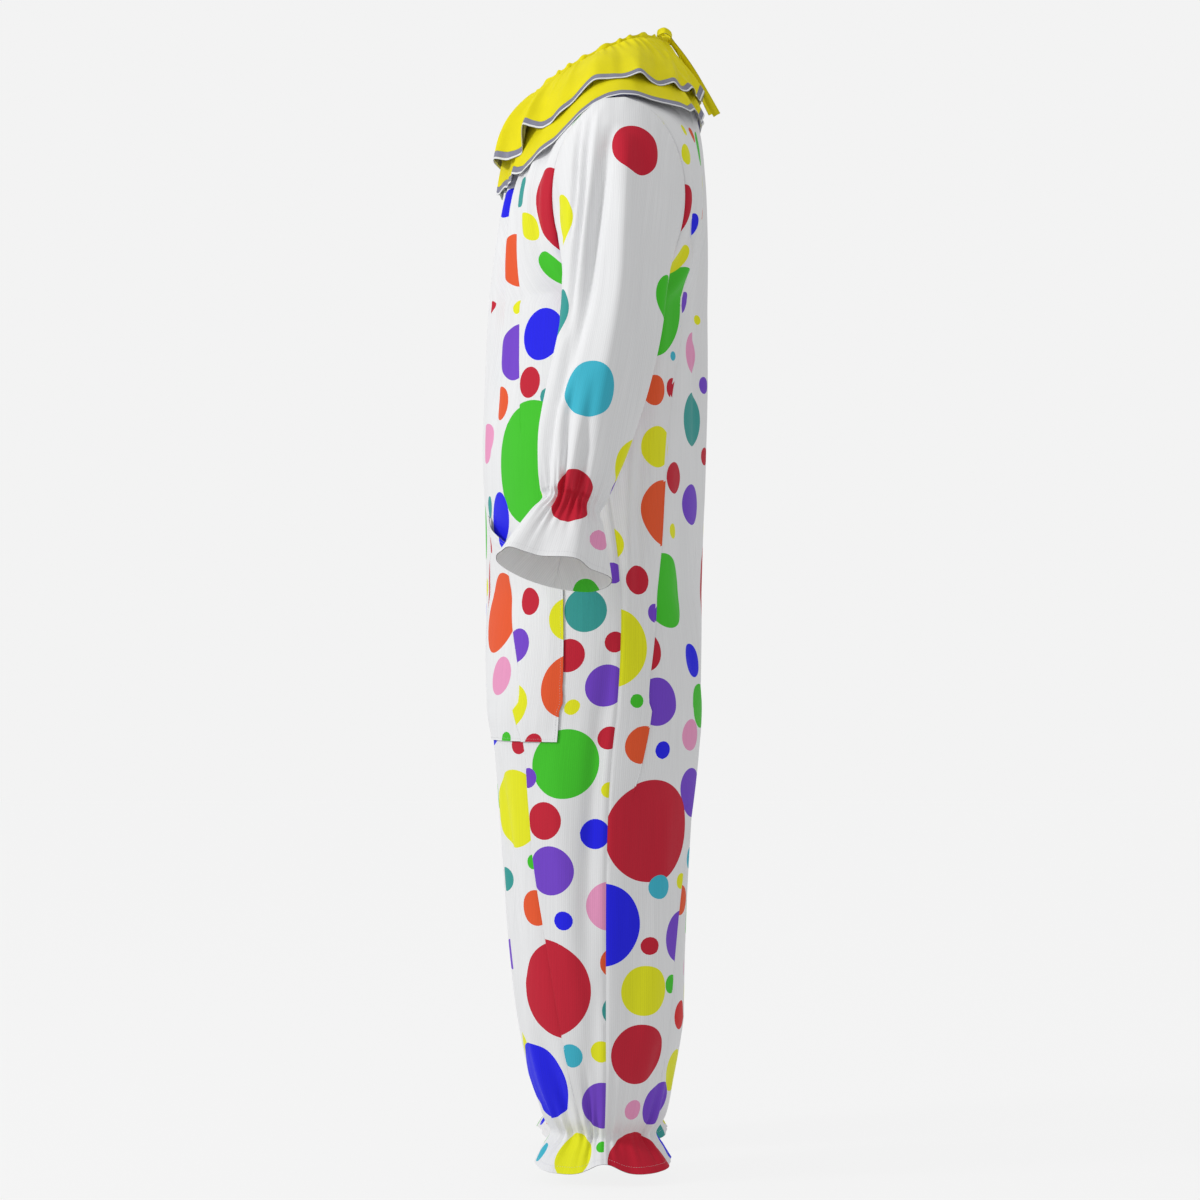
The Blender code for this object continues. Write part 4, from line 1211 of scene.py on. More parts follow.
class Blocker:
    """What hides a worn point from the camera: the cloths, and the frame's collar solids."""

    def __init__(self):
        points, faces = [], []
        for name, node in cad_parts.items():
            if name in CLOTHS:
                cloth = CLOTHS[name]
                flip = [-1.0, 1.0, 1.0] if name.endswith("right") else [1.0, 1.0, 1.0]
                corners = (cloth.worn.reshape(-1, 3) * flip).tolist()
                sides = cloth.triangles.tolist()
            else:
                corners = [node.matrix_world @ v.co for v in node.data.vertices]
                sides = [list(face.vertices) for face in node.data.polygons]
            first = len(points)
            points += corners
            faces += [[first + k for k in side] for side in sides]
        self.tree = BVHTree.FromPolygons(points, faces)

    def sees(self, point, normal):
        """Whether the camera sees a point of a piece's outer skin."""
        away = CAMERA - Vector(point)
        distance = away.length
        if normal @ np.array(away) < GRAZING * distance:
            return False
        start = Vector(point) + away / distance * SIGHT_GAP
        return self.tree.ray_cast(start, away / distance, distance)[2] is None


FILL_GAP = 0.007                 # between dots
FILL_TRIES = 14                  # places tried for each dot
SIGHT_MARGIN = 0.005             # round a dot that the camera doesn't see
SPARSE = {"sleeve_right": 0.45, "sleeve_left": 0.6}   # the sleeves carry fewer dots
# Radius, and how many dots of it a piece gets at most.
FILL_SIZES = [
    (0.058, 5), (0.046, 9), (0.036, 12), (0.028, 18), (0.021, 26), (0.016, 34), (0.012, 60),
    (0.009, 90),
]
FILL_COLOURS = ["red", "blue", "green", "orange", "yellow", "teal", "purple", "pink", "cyan",
                "red", "yellow", "blue", "orange", "green", "purple"]


def in_sight(cloth, place, radius, inside_too):
    """Whether the chart's camera sees any of a dot, on the cloth's face or on its reverse."""
    turns = np.arange(12) * math.pi / 6
    wide = radius + SIGHT_MARGIN
    ring = np.stack([place[0] + wide * np.cos(turns), place[1] + wide * np.sin(turns)], 1)
    return any(
        held and (BLOCKER.sees(point, normal) or inside_too and BLOCKER.sees(point, -normal))
        for point, normal, held in zip(*cloth.carry(np.concatenate([ring, [place]])))
    )


def filled(name, cloth, spots, side):
    """More spots by a seeded rule; on the left side only where the chart's camera doesn't look."""
    chance = random.Random(f"dots {name}")
    fewer = SPARSE.get(name, 1.0)
    into_cuff = name.startswith("sleeve")   # the camera looks into it
    spots = list(spots)
    low, high = cloth.flat.reshape(-1, 2).min(0), cloth.flat.reshape(-1, 2).max(0)
    for radius, count in FILL_SIZES:
        places = np.array([
            (chance.uniform(low[0], high[0]), chance.uniform(low[1], high[1]))
            for _ in range(int(count * FILL_TRIES * fewer))
        ])
        held = cloth.weights(places)[0] >= 0
        added = 0
        for (x, y), on in zip(places, held):
            if not on or added >= count * fewer:
                continue
            if cloth.border is not None and not enclosed(cloth.border, np.array([(x, y)]))[0]:
                continue
            gaps = [math.hypot(s.x - x, s.y - y) - s.radius - radius for s in spots]
            if gaps and min(gaps) < FILL_GAP:
                continue
            if side == "left" and in_sight(cloth, (x, y), radius, into_cuff and y > 0):
                continue
            near = sorted(zip(gaps, range(len(spots))))[:3]
            taken = {spots[k].colour for _, k in near}
            colours = [c for c in FILL_COLOURS if c not in taken]
            spots.append(Spot(chance.choice(colours), x, y, radius, None))
            added += 1
    return spots


# ---------------------------------------------------------------- printed pieces
MADE = {}            # piece name -> object


def make_printed(name, cloth, side):
    """A printed piece, with the chart's dots where there are any and more by rule."""
    spots = charted(name, cloth) if name in CHART else []
    MADE[name] = print_piece(name, cloth, filled(name, cloth, spots, side), side)


CLOTHS = {}          # piece name -> Cloth


# ---------------------------------------------------------------- pockets
Mouth = namedtuple("Mouth", "z side centre")
POCKET_SIDES = named(
    Mouth,
    (-0.560, 0.210, 0.730),
    (-0.690, 0.200, 0.723),
    (-0.740, 0.190, 0.710),
    (-0.780, 0.180, 0.681),
    (-0.810, 0.160, 0.585),
    (-0.850, 0.160, 0.579),
)
POCKET_MOUTH = (-0.634, -0.564)  # heights of the mouth at the side and at the centre
POCKET_FOOT = -0.848
POCKET_LIFT = 0.0007             # gap between the panel and the patch
POCKET_PUFF, PUFF_FROM = 0.0018, 0.018     # more over its middle, reached so far from its hems
POCKET_TURN = 0.016              # depth of the hem at the mouth
MOUTH_STEP = 0.0009              # how far that hem stands up
HEM_DEEP, HEM_STEP = 0.005, 0.0007         # the other hems
STEP_WIDE = 0.002                # in which a hem's edge rises
GAPE = {"left": 0.0080, "right": 0.0060}   # how far the mouth stands open
GAPE_DEEP, GAPE_ENDS = 0.045, 0.06         # below the mouth, and in from its ends
OUTLINE_STEPS = 40               # places along each of the patch's four edges


def form_place(cloth, z, share):
    """The flat place on a front panel at a height and a share of the smooth form."""
    rows = cloth.heights
    i = int(np.clip(np.searchsorted(-rows, -z) - 1, 0, len(rows) - 2))
    blend = (rows[i] - z) / (rows[i] - rows[i + 1])
    found = []
    for k in (i, i + 1):
        order = np.argsort(cloth.shares[k], kind="stable")
        found.append([np.interp(share, cloth.shares[k][order], cloth.flat[k][order, axis])
                      for axis in (0, 1)])
    return np.array(found[0]) * (1 - blend) + np.array(found[1]) * blend


def pocket_outline(cloth):
    """The patch's outline on the panel's flat cloth, from its centre end of the mouth and round."""
    guides = POCKET_SIDES[::-1]
    heights = [row.z for row in guides]
    side_mouth, centre_mouth = POCKET_MOUTH
    falls = np.linspace(0, 1, OUTLINE_STEPS + 1)
    places = [(1.0, centre_mouth + (POCKET_FOOT - centre_mouth) * f) for f in falls]
    places += [(1.0 - f, POCKET_FOOT) for f in falls[1:]]
    places += [(0.0, POCKET_FOOT + (side_mouth - POCKET_FOOT) * f) for f in falls[1:]]
    places += [(f, side_mouth + (centre_mouth - side_mouth) * f) for f in falls[1:-1]]
    outline = []
    for span, z in places:
        at_side = np.interp(z, heights, [row.side for row in guides])
        at_centre = np.interp(z, heights, [row.centre for row in guides])
        outline.append(form_place(cloth, z, at_side + (at_centre - at_side) * span))
    return np.array(outline)


def enclosed(outline, spots):
    """Whether spots lie inside a closed outline."""
    x, y = spots[:, 0], spots[:, 1]
    within = np.zeros(len(spots), bool)
    for (ax, ay), (bx, by) in zip(outline, np.roll(outline, -1, axis=0)):
        crosses = (ay > y) != (by > y)
        if by != ay:
            within ^= crosses & (x < (bx - ax) * (y - ay) / (by - ay) + ax)
    return within


def pocket_cloth(side):
    """The patch's grid is the part of the panel that it covers, moved out."""
    panel = CLOTHS[f"front_{side}"]
    outline = pocket_outline(panel)
    low, high = outline.min(axis=0) - 0.02, outline.max(axis=0) + 0.02
    within = ((panel.flat > low) & (panel.flat < high)).all(axis=2)
    rows = np.flatnonzero(within.any(axis=1))
    columns = np.flatnonzero(within.any(axis=0))
    area = np.ix_(range(rows[0], rows[-1] + 1), range(columns[0], columns[-1] + 1))
    flat = panel.flat[area]
    closed = np.concatenate([outline, outline[:1]])
    centre, foot, side_edge, mouth = (
        distance_to(closed[k * OUTLINE_STEPS:(k + 1) * OUTLINE_STEPS + 1], flat.reshape(-1, 2))
        .reshape(flat.shape[:2]) for k in range(4)
    )
    hems = np.minimum(np.minimum(side_edge, foot), centre)
    lift = POCKET_LIFT + CLOTH + POCKET_PUFF * np.clip(hems / PUFF_FROM, 0, 1)
    ends = soft_step(np.clip(np.minimum(side_edge, centre) / GAPE_ENDS, 0, 1))
    lift += GAPE[side] * ends * bell(mouth, GAPE_DEEP)
    lift += MOUTH_STEP * np.clip((POCKET_TURN - mouth) / STEP_WIDE, 0, 1)
    lift += HEM_STEP * np.clip((HEM_DEEP - hems) / STEP_WIDE, 0, 1)
    worn = panel.worn[area] + panel.normals[area] * lift[:, :, None]
    folds = [k - columns[0] for k in panel.folds if columns[0] < k < columns[-1]]
    cloth = Cloth(flat, worn, FRONT, folds)
    cloth.border = outline
    cloth.laps = panel.laps
    return cloth


def distance_to(line, spots):
    """Distance of spots from a line of points."""
    best = np.full(len(spots), 9.0)
    for a, b in zip(line[:-1], line[1:]):
        run = b - a
        share = np.clip(((spots - a) @ run) / max(1e-12, run @ run), 0, 1)
        best = np.minimum(best, np.linalg.norm(spots - a - share[:, None] * run, axis=1))
    return best


for side in ("left", "right"):
    for panel, where in ((FRONT, "front"), (BACK, "back")):
        CLOTHS[f"{where}_{side}"] = panel_cloth(side, panel)
    CLOTHS[f"sleeve_{side}"] = sleeve_cloth(side)
    CLOTHS[f"pocket_{side}"] = pocket_cloth(side)
BLOCKER = Blocker()
for name, cloth in CLOTHS.items():
    make_printed(name, cloth, name.rsplit("_", 1)[1])


# ---------------------------------------------------------------- stitching
STITCHES = {}        # piece name -> object
HEM = 0.008          # of the legs and the cuffs
# Rows on a pocket: from and to a place of its outline, and how far in.
POCKET_ROWS = [(2, 119, 0.0035), (118, 162, 0.0035), (118, 162, POCKET_TURN - 0.003)]


def flat_line(cloth, spots):
    """A line on the flat cloth, on its outer skin."""
    worn, normals, held = cloth.carry(spots)
    return worn[held], normals[held]


def inset_line(outline, start, end, inset):
    """Part of a closed outline, moved in by so much."""
    ahead = np.roll(outline, -1, axis=0) - np.roll(outline, 1, axis=0)
    sideways = unit(np.stack([-ahead[:, 1], ahead[:, 0]], axis=1))
    middle = outline.mean(axis=0)
    sideways *= np.sign(((middle - outline) * sideways).sum(axis=1, keepdims=True))
    fine = np.linspace(start, end - 1, 400)
    moved = outline + sideways * inset
    index = np.arange(start, end)
    return np.stack([np.interp(fine, index, moved[index % len(outline), k]) for k in (0, 1)], 1)


for name, cloth in CLOTHS.items():
    if cloth.border is not None:
        lines = [flat_line(cloth, inset_line(cloth.border, *row)) for row in POCKET_ROWS]
    else:
        sleeve = name.startswith("sleeve")
        downs = cloth.flat[:, SLEEVE_COLUMNS // 2, 1] if sleeve else -cloth.heights
        row = int(np.argmin(np.abs(downs - (downs[-1] - HEM))))
        lines = [(cloth.worn[row], cloth.normals[row])]
    STITCHES[name] = stitched(name, lines, THREAD, name.rsplit("_", 1)[1])


# ---------------------------------------------------------------- collar
# The frills' outer edges on each side: degrees from the front, reach from the middle of the neck
# and height.
Edge = namedtuple("Edge", "angle reach z")
EDGES = {
    ("upper", "left"): named(
        Edge,
        (0, 0.134, -0.101), (13, 0.137, -0.106), (26, 0.146, -0.111), (36, 0.143, -0.107),
        (42, 0.147, -0.104), (47.5, 0.144, -0.101), (52, 0.156, -0.07), (58, 0.161, -0.068),
        (64, 0.163, -0.072), (69, 0.166, -0.07), (74, 0.167, -0.058), (78, 0.168, -0.047),
        (81, 0.169, -0.037), (84, 0.17, -0.029), (88, 0.171, -0.0215), (97, 0.175, -0.0125),
        (104, 0.175, -0.011), (107.5, 0.173, -0.0105), (112, 0.169, -0.0155), (118, 0.167, -0.0185),
        (126, 0.163, -0.0175), (131, 0.162, -0.021), (137, 0.156, -0.022), (140, 0.155, -0.017),
        (145, 0.151, -0.026), (152, 0.145, -0.022), (158, 0.142, -0.028), (166, 0.138, -0.014),
        (173, 0.136, -0.024), (180, 0.134, -0.016),
    ),
    ("lower", "left"): named(
        Edge,
        (0, 0.129, -0.143), (11, 0.132, -0.147), (22, 0.132, -0.138), (31, 0.136, -0.141),
        (37, 0.139, -0.138), (41, 0.149, -0.126), (47, 0.156, -0.128), (53, 0.164, -0.129),
        (62, 0.179, -0.118), (68, 0.19, -0.107), (73, 0.195, -0.097), (78, 0.2, -0.081),
        (83, 0.203, -0.063), (88, 0.205, -0.05), (93, 0.204, -0.042), (98, 0.204, -0.039),
        (104, 0.202, -0.04), (110, 0.199, -0.044), (117, 0.195, -0.046), (124, 0.189, -0.049),
        (129, 0.183, -0.055), (134, 0.176, -0.047), (140, 0.169, -0.052), (147, 0.157, -0.06),
        (154, 0.149, -0.048), (162, 0.14, -0.054), (171, 0.136, -0.042), (180, 0.134, -0.047),
    ),
    ("upper", "right"): named(
        Edge,
        (0, 0.134, -0.101), (9, 0.138, -0.097), (19, 0.136, -0.106), (30, 0.144, -0.102),
        (38, 0.141, -0.104), (44, 0.15, -0.084), (52, 0.151, -0.086), (59, 0.158, -0.066),
        (66, 0.16, -0.068), (73, 0.166, -0.046), (80, 0.167, -0.032), (87, 0.172, -0.014),
        (95, 0.171, -0.016), (103, 0.173, -0.006), (111, 0.169, -0.014), (119, 0.168, -0.009),
        (127, 0.162, -0.018), (135, 0.16, -0.012), (142, 0.152, -0.024), (150, 0.148, -0.014),
        (158, 0.141, -0.026), (167, 0.139, -0.014), (174, 0.135, -0.023), (180, 0.134, -0.016),
    ),
    ("lower", "right"): named(
        Edge,
        (0, 0.129, -0.143), (9, 0.134, -0.137), (20, 0.136, -0.145), (33, 0.146, -0.132),
        (42, 0.152, -0.135), (50, 0.166, -0.122), (58, 0.172, -0.122), (66, 0.187, -0.104),
        (73, 0.192, -0.092), (80, 0.202, -0.067), (88, 0.206, -0.05), (96, 0.209, -0.038),
        (106, 0.206, -0.044), (114, 0.205, -0.038), (122, 0.194, -0.05), (130, 0.187, -0.045),
        (138, 0.172, -0.056), (146, 0.164, -0.046), (154, 0.149, -0.056), (163, 0.142, -0.044),
        (172, 0.136, -0.053), (180, 0.134, -0.047),
    ),
}
# Flutes of the frills: degrees at the root and at the edge, half width in degrees and height.
Flute = namedtuple("Flute", "root edge width height")
FLUTES = {
    "upper": named(
        Flute,
        (55, 60, 5, -0.012), (47, 52, 3.5, 0.006), (69, 73, 4.5, 0.005), (33, 43, 4, -0.0065),
        (24, 29, 4, 0.0105), (12, 17, 4, -0.006), (106, 99, 4.5, -0.005), (88, 88, 5, 0.006),
        (118, 108, 4, 0.006), (133, 117, 3.5, -0.006), (150, 125, 3, 0.0045),
        (160, 132, 3.5, -0.005), (168, 142, 3.5, 0.004), (171, 153, 4, -0.0045),
        (175, 166, 4, 0.004), (-10, -12, 4, 0.0045), (-20, -24, 4, -0.0045), (-33, -37, 4, 0.0045),
        (-44, -50, 4.5, -0.0045), (-57, -61, 4, 0.004), (-70, -74, 5, -0.004), (-86, -88, 5, 0.003),
        (-98, -98, 5, -0.004), (-112, -109, 4, 0.004), (-124, -120, 4.5, -0.0045),
        (-138, -131, 4, 0.004), (-149, -143, 4, -0.0045), (-161, -156, 4, 0.004),
        (-172, -168, 4, -0.0045),
    ),
    "lower": named(
        Flute,
        (6, 8, 4, 0.004), (18, 24, 4, -0.004), (30, 35, 4, 0.004), (40, 47, 4, -0.0035),
        (60, 66, 5, 0.0025), (80, 84, 6, -0.0025), (100, 102, 7, 0.002), (118, 116, 5, -0.0025),
        (132, 129, 4, 0.003), (146, 140, 4, -0.0035), (158, 153, 4, 0.0035), (170, 166, 4, -0.0035),
        (-12, -14, 4, -0.004), (-27, -30, 4, 0.004), (-42, -46, 5, -0.0035), (-60, -63, 5, 0.003),
        (-80, -82, 6, -0.0025), (-104, -103, 6, 0.0025), (-122, -119, 5, -0.003),
        (-139, -134, 4, 0.0035), (-153, -149, 4, -0.0035), (-168, -165, 4, 0.0035),
    ),
}
COLLAR_SLIT = 1.2                # degrees left open on each side of the centre back
COLLAR_COLUMNS = 540
FRILL_WALL = 0.0010
FRILL_END = EDGING + BAND + 2 * SEAM
# How high a frill arches between root and edge: at the back, and so much more at the front.
Crown = namedtuple("Crown", "back more power")
CROWNS = {"upper": Crown(0.004, 0.010, 1), "lower": Crown(0.003, 0.007, 2)}
# Gathers at a frill's root: degrees to the next, half width in degrees, height, share reached.
ROOT_GATHERS = [(3.6, 7.5), (0.9, 2.0), (0.0012, 0.0034), (0.25, 0.75)]


def edge_lines(layer, angles):
    """Reach and height of a frill's outer edge, rounded where its rows meet."""
    fine = np.linspace(-190, 190, 1521)
    rows = [Edge(-row.angle, row.reach, row.z) for row in EDGES[layer, "right"][:0:-1]]
    rows += EDGES[layer, "left"]
    weights = np.exp(-np.linspace(-2.5, 2.5, 21) ** 2)
    lines = []
    for name in ("reach", "z"):
        line = np.interp(fine, [row.angle for row in rows], [getattr(row, name) for row in rows])
        padded = np.pad(line, 10, mode="edge")
        line = np.convolve(padded, weights / weights.sum(), mode="valid")
        lines.append(np.interp(angles, fine, line))
    return lines


def root_gathers(layer):
    """Gathers all round a frill's root: (angle, half width, height, share reached)."""
    chance = random.Random(f"collar {layer}")
    found = []
    angle = -180.0
    while angle < 180:
        apart, *rest = [chance.uniform(*limits) for limits in ROOT_GATHERS]
        angle += apart
        found.append((angle, *rest))
    return found


def frill_points(layer, angles, insets):
    """A frill's grid: rows at so much cloth in from its outer edge, on columns by angle."""
    reach, height = edge_lines(layer, angles)
    turn = np.radians(angles)
    edge = np.stack([reach * np.sin(turn), NECK_CENTRE[0] - reach * np.cos(turn), height], axis=1)
    up = UPPER_ROOT if layer == "upper" else LOWER_ROOT
    root = neck_point(angles, CASING_WALL + SEAM + NECK_CLEAR, up)
    length = np.linalg.norm(edge - root, axis=1)
    run = (edge - root) / length[:, None]
    outward = unit(np.cross(np.cross(run, [0.0, 0.0, 1.0]), run))
    crown = CROWNS[layer]
    arch = crown.back + crown.more * ((1 + np.cos(turn)) / 2) ** crown.power
    pleats = root_gathers(layer)
    grid = []
    for inset in insets:
        share = np.maximum(0.0, 1 - (inset(length) if callable(inset) else inset) / length)
        lift = arch * np.sin(math.pi * share)
        for flute in FLUTES[layer]:
            place = flute.root + (flute.edge - flute.root) * share
            hem = 1 - 0.7 * share**4 if flute.height < 0 else 1.0   # valleys end before the hem
            lift += flute.height * share**0.8 * hem * bell(angles - place, flute.width)
        for place, width, tall, reached in pleats:
            fade = np.clip(share / 0.06, 0, 1) * np.exp(-((share / reached) ** 2) * 1.6)
            lift += tall * fade * bell(angles - place, width * (1 + share))
        grid.append(root + run * (length * share)[:, None] + outward * lift[:, None])
    return np.array(grid), length


ROOT_SHARES = np.concatenate([np.linspace(0, 0.3, 8)[:-1], np.linspace(0.3, 1, 15)])


def make_collar():
    """Both frills, each with its band and its edging."""
    angles = np.linspace(COLLAR_SLIT - 180, 180 - COLLAR_SLIT, COLLAR_COLUMNS + 1)
    for layer in ("upper", "lower"):
        body = [(lambda length, s=s: length * (1 - s) + FRILL_END * s) for s in ROOT_SHARES]
        spans = [
            ("", YELLOW, body),
            ("_band", GREY, list(np.linspace(FRILL_END - SEAM, EDGING + SEAM, 6))),
            ("_edging", WHITE, list(np.linspace(EDGING, 0, 4))),
        ]
        for part, finish, insets in spans:
            points, length = frill_points(layer, angles, insets)
            across = run_length(points[-1])
            down = np.array([(i(length) if callable(i) else np.full(len(angles), i))
                             for i in insets])
            flat = np.stack([np.tile(across, (len(insets), 1)), length.max() - down], axis=2)
            name = f"collar_{layer}{part}"
            MADE[name] = grid_piece(name, points, flat, FRILL_WALL, finish, 1,
                                    reverse=None if part else REVERSE)
            if part == "_band":
                lines = [(points[k], grid_normals(points, 1)[k]) for k in (1, -2)]
                STITCHES[name] = stitched(name, lines, GREY_THREAD)
            if not part:
                edge = run_length(frill_points(layer, angles, [0.0])[0][0])[-1]


make_collar()


# ---------------------------------------------------------------- neck casing and tie
CASING_ROWS, CASING_COLUMNS = 13, 900
CASING_MAP = 0.018               # and of its pattern, a little past the cloth
CASING_EASE = 1.1                # the bumps take up so much more cloth than the neck is round
BUMP_WIDTHS, BUMP_GAPS = (4.6, 13.0), (0.75, 0.95)   # in degrees, and as a share of the width


def make_casing():
    """The gathered casing: puffed cloth whose upper edge stands up in small uneven bumps."""
    angles = np.linspace(COLLAR_SLIT - 180, 180 - COLLAR_SLIT, CASING_COLUMNS)
    chance = random.Random("casing")
    puff = np.full(len(angles), 0.25)
    top = np.zeros(len(angles))
    angle = -178.0
    while angle < 178:
        wide = chance.uniform(*BUMP_WIDTHS)
        angle += wide
        bump = np.exp(-((np.abs(angles - angle) / (wide * 0.46)) ** 2.6))
        puff = np.maximum(puff, bump * chance.uniform(0.7, 1.0))
        top = np.maximum(top, bump * chance.uniform(0.4, 1.0))
        angle += wide * chance.uniform(*BUMP_GAPS)
    rows = []
    for share in np.linspace(0, 1, CASING_ROWS):
        up = 0.0080 + 0.0040 * (top - 0.4) * (1 - share) - 0.0150 * share
        swell = math.sin(math.pi * min(1.0, share * 1.05 + 0.1)) ** 0.7
        out = CASING_WALL - 0.0006 + 0.0042 * puff * swell
        rows.append(neck_point(angles, out, up))
    points = np.array(rows)
    across = run_length(points[4]) * CASING_EASE
    flat = np.stack(np.meshgrid(across, np.linspace(0, CASING_MAP, CASING_ROWS)), axis=2)
    MADE["neck_casing"] = grid_piece("neck_casing", points, flat, 0.0016, YELLOW, 1)


Tie = namedtuple("Tie", "x y z turn")
TAILS = {
    "left": named(
        Tie,
        (0.006, 0.086, 0.0585, 20), (0.0085, 0.0945, 0.046, 35), (0.012, 0.1062, 0.0275, 50),
        (0.015, 0.1185, 0.0075, 62), (0.017, 0.1318, -0.016, 70), (0.018, 0.1455, -0.041, 74),
    ),
    "right": named(
        Tie,
        (0.006, 0.0858, 0.0582, 20), (0.0088, 0.0935, 0.0462, 34), (0.013, 0.1048, 0.0275, 48),
        (0.017, 0.1168, 0.008, 60), (0.0195, 0.129, -0.013, 66), (0.0205, 0.14, -0.035, 70),
    ),
}
LOOP = named(
    Tie,
    (0.007, 0.073, 0.058, 0), (0.015, 0.0695, 0.0625, 0), (0.0235, 0.0715, 0.066, 0),
    (0.0275, 0.077, 0.0672, 0), (0.0245, 0.083, 0.0645, 0), (0.016, 0.086, 0.06, 0),
    (0.007, 0.0835, 0.0565, 0),
)
RIBBON, RIBBON_COLUMNS, RIBBON_ROWS = 0.0100, 9, 56
TIE_WALL = 0.0009
KNOT_HALF, KNOT_PLACE = (0.0084, 0.0072, 0.0060), (0.0785, 0.0580)   # half sizes; its y and z
Knot = namedtuple("Knot", "run x y z turn")


def curve_through(route, count):
    """Places and turns along a smooth curve through a route's rows."""
    rows = np.array(route, float)
    run = run_length(rows[:, :3])
    at = np.linspace(0, run[-1], count)
    knots = [Knot(r, *row) for r, row in zip(run, rows)]
    return np.stack([smooth(knots, name, at, "run") for name in Knot._fields[1:]], axis=1), at


def ribbon_piece(name, route, across_at, side, pinch):
    """A flat ribbon, drawn together at the knot, with a soft curl across its width."""
    rows, at = curve_through(route, RIBBON_ROWS)
    middle = rows[:, :3]
    ahead = unit(np.gradient(middle, axis=0))
    across = across_at(ahead, rows[:, 3])
    normal = np.cross(ahead, across)
    near_knot = pinch(at / at[-1])
    half = RIBBON / 2 * (1 - 0.45 * near_knot)
    grid = []
    for share in np.linspace(-1, 1, RIBBON_COLUMNS):
        curl = (0.0007 + 0.0012 * near_knot) * np.cos(share * math.pi)
        curl += 0.0004 * np.sin(at / 0.011 + share * 1.3)
        grid.append(middle + across * (share * half)[:, None] + normal * curl[:, None])
    points = np.array(grid).transpose(1, 0, 2)
    flat = np.stack(np.meshgrid(np.linspace(0, RIBBON, RIBBON_COLUMNS), at), axis=2)
    MADE[name] = grid_piece(name, points, flat, TIE_WALL, YELLOW, 1, side)


def tail_across(ahead, turns):
    """The way across a tail, turned from level by so many degrees."""
    level = unit(np.cross(ahead, [0.0, 0.0, 1.0]))
    upright = np.cross(level, ahead)
    turns = np.radians(turns)[:, None]
    return level * np.cos(turns) + upright * np.sin(turns)


def loop_across(ahead, _):
    """The way across a loop, which leans the same way all along."""
    lean = np.tile([0.53, 0.0, -0.85], (len(ahead), 1))
    return unit(lean - ahead * (lean * ahead).sum(axis=1, keepdims=True))


def make_knot():
    """A small puffed knot, wrapped round the middle by a turn of the ribbon."""
    up, turn = np.meshgrid(np.linspace(-1, 1, 25), np.linspace(0, 2 * math.pi, 49), indexing="ij")
    ring = np.maximum(0.0, 1 - np.abs(up) ** 3.2) ** (1 / 2.4)
    wrap = 1 + 0.10 * np.exp(-((up / 0.42) ** 4)) - 0.05 * bell(np.abs(up) - 0.5, 0.1)
    wrap += 0.035 * np.sin(3 * turn + 4 * up) * (1 - up * up)
    points = np.stack([
        KNOT_HALF[0] * up,
        KNOT_PLACE[0] + KNOT_HALF[1] * ring * wrap * np.cos(turn),
        KNOT_PLACE[1] + KNOT_HALF[2] * ring * wrap * np.sin(turn),
    ], axis=2)
    flat = np.stack([turn * 0.0065, up * 0.0085], axis=2)
    MADE["tie_knot"] = grid_piece("tie_knot", points, flat, 0.0004, YELLOW, -1)


make_casing()
for side in ("left", "right"):
    ribbon_piece(f"tie_tail_{side}", TAILS[side], tail_across, side, lambda at: bell(at, 0.12))
    ribbon_piece(f"tie_loop_{side}", LOOP, loop_across, side,
                 lambda at: bell(at, 0.10) + bell(1 - at, 0.10))
make_knot()


# ---------------------------------------------------------------- the pieces in the frame
for name, made in MADE.items():
    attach(made, "root")
    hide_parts(name)
for where in ("front", "back", "sleeve", "pocket"):
    for side in ("left", "right"):
        name = f"{where}_{side}"
for name, made in STITCHES.items():
    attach(made, "root")

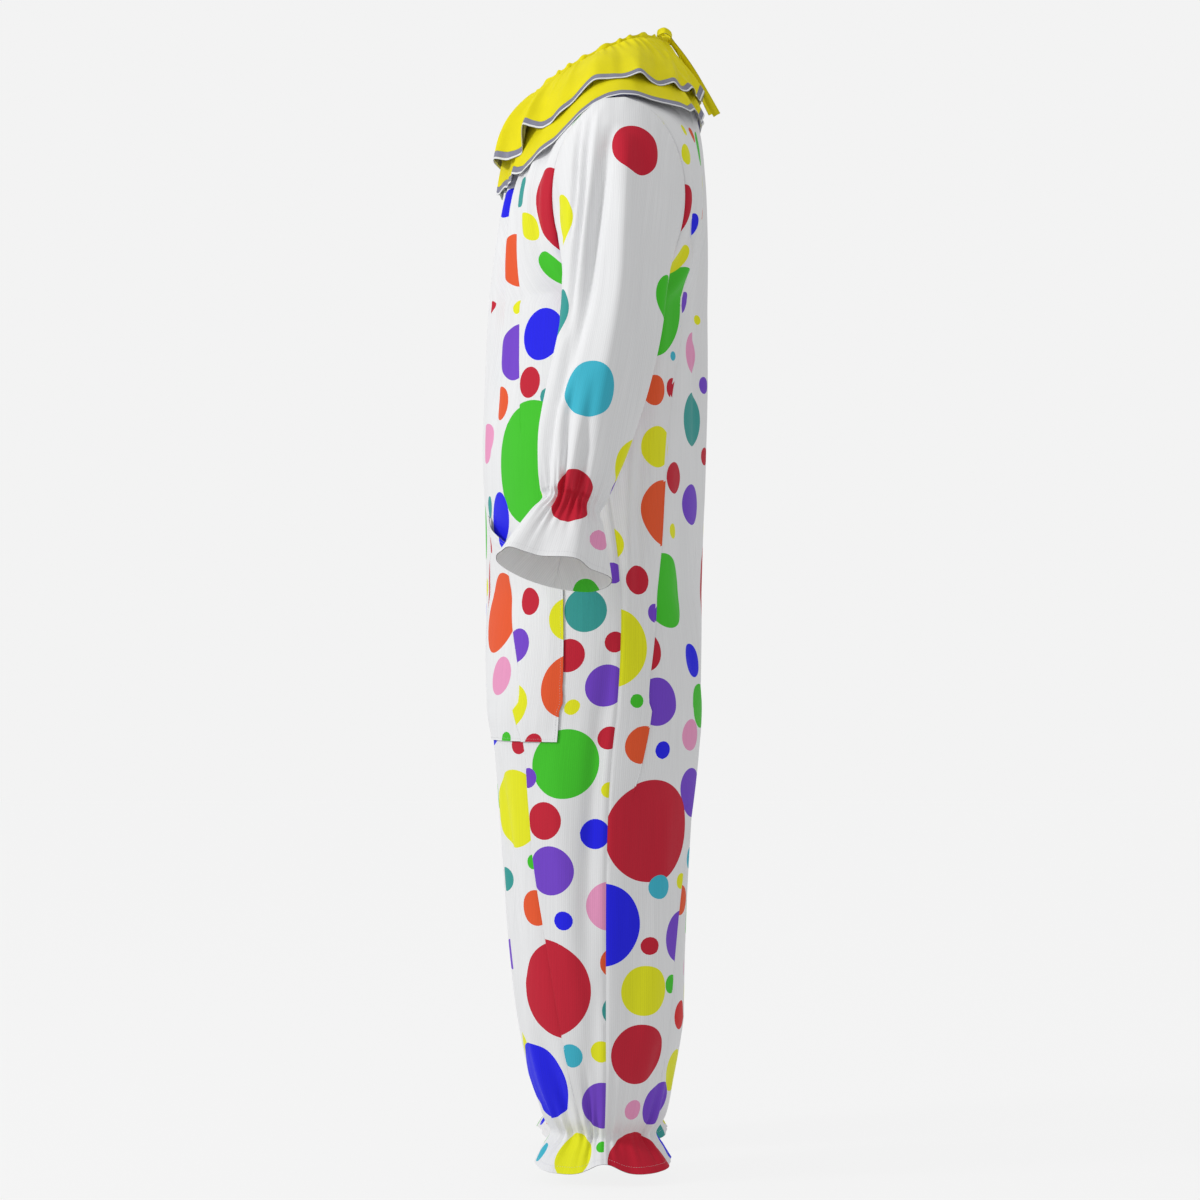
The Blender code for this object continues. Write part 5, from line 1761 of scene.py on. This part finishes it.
# ---------------------------------------------------------------- the floor, light and camera
FLOOR, FLOOR_HALF = -1.405, 9    # its height and half its width
FLOOR_GLOW = 0.84                # as bright as the backdrop
ROOM_LIGHT, BACKDROP = 0.60, 0.896   # of the world, on the cloth and as the camera sees it
SENSOR = 36


def lamp(name, place, target, size, energy):
    """A square lamp that faces its target."""
    light = bpy.data.lights.new(name, "AREA")
    light.energy = energy
    light.size = size
    made = linked(name, light)
    made.location = place
    made.rotation_euler = (Vector(target) - Vector(place)).to_track_quat("-Z", "Y").to_euler()


bpy.context.scene.view_settings.view_transform = "Standard"
floor_mesh = bpy.data.meshes.new("floor")
corners = [(x * FLOOR_HALF, y * FLOOR_HALF, FLOOR) for x, y in ((-1, -1), (1, -1), (1, 1), (-1, 1))]
floor_mesh.from_pydata(corners, [], [(0, 1, 2, 3)])
floor = linked("floor", floor_mesh)
floor.visible_diffuse = False
floor_finish = Finish(
    "floor", 0.9, Base_Color=(0.06, 0.06, 0.06, 1), Specular_IOR_Level=0.1,
    Emission_Color=(1, 1, 1, 1), Emission_Strength=FLOOR_GLOW,
)
floor_mesh.materials.append(floor_finish.material)

lamp("key", (1.9, -4.1, 1.3), (0, 0, -0.6), 0.9, 102)
lamp("top", (0.0, -0.6, 3.6), (0, 0, -0.5), 1.6, 14)
world = bpy.data.worlds.new("studio")
bpy.context.scene.world = world
world.use_nodes = True
tree = world.node_tree
backdrop = tree.nodes["Background"]
backdrop.inputs[0].default_value = (1, 1, 1, 1)
path = tree.nodes.new("ShaderNodeLightPath")
level = tree.nodes.new("ShaderNodeMapRange")
level.inputs["To Min"].default_value = ROOM_LIGHT
level.inputs["To Max"].default_value = BACKDROP
tree.links.new(path.outputs["Is Camera Ray"], level.inputs["Value"])
tree.links.new(level.outputs[0], backdrop.inputs[1])

lens = bpy.data.cameras.new("camera")
lens.sensor_fit = "HORIZONTAL"
lens.sensor_width = SENSOR
lens.lens = SENSOR / (IMAGE * PIXEL / NEAR_PLANE)
camera = linked("camera", lens)
camera.location = CAMERA
camera.rotation_euler = (math.pi / 2, 0, math.pi / 2)
bpy.context.scene.camera = camera
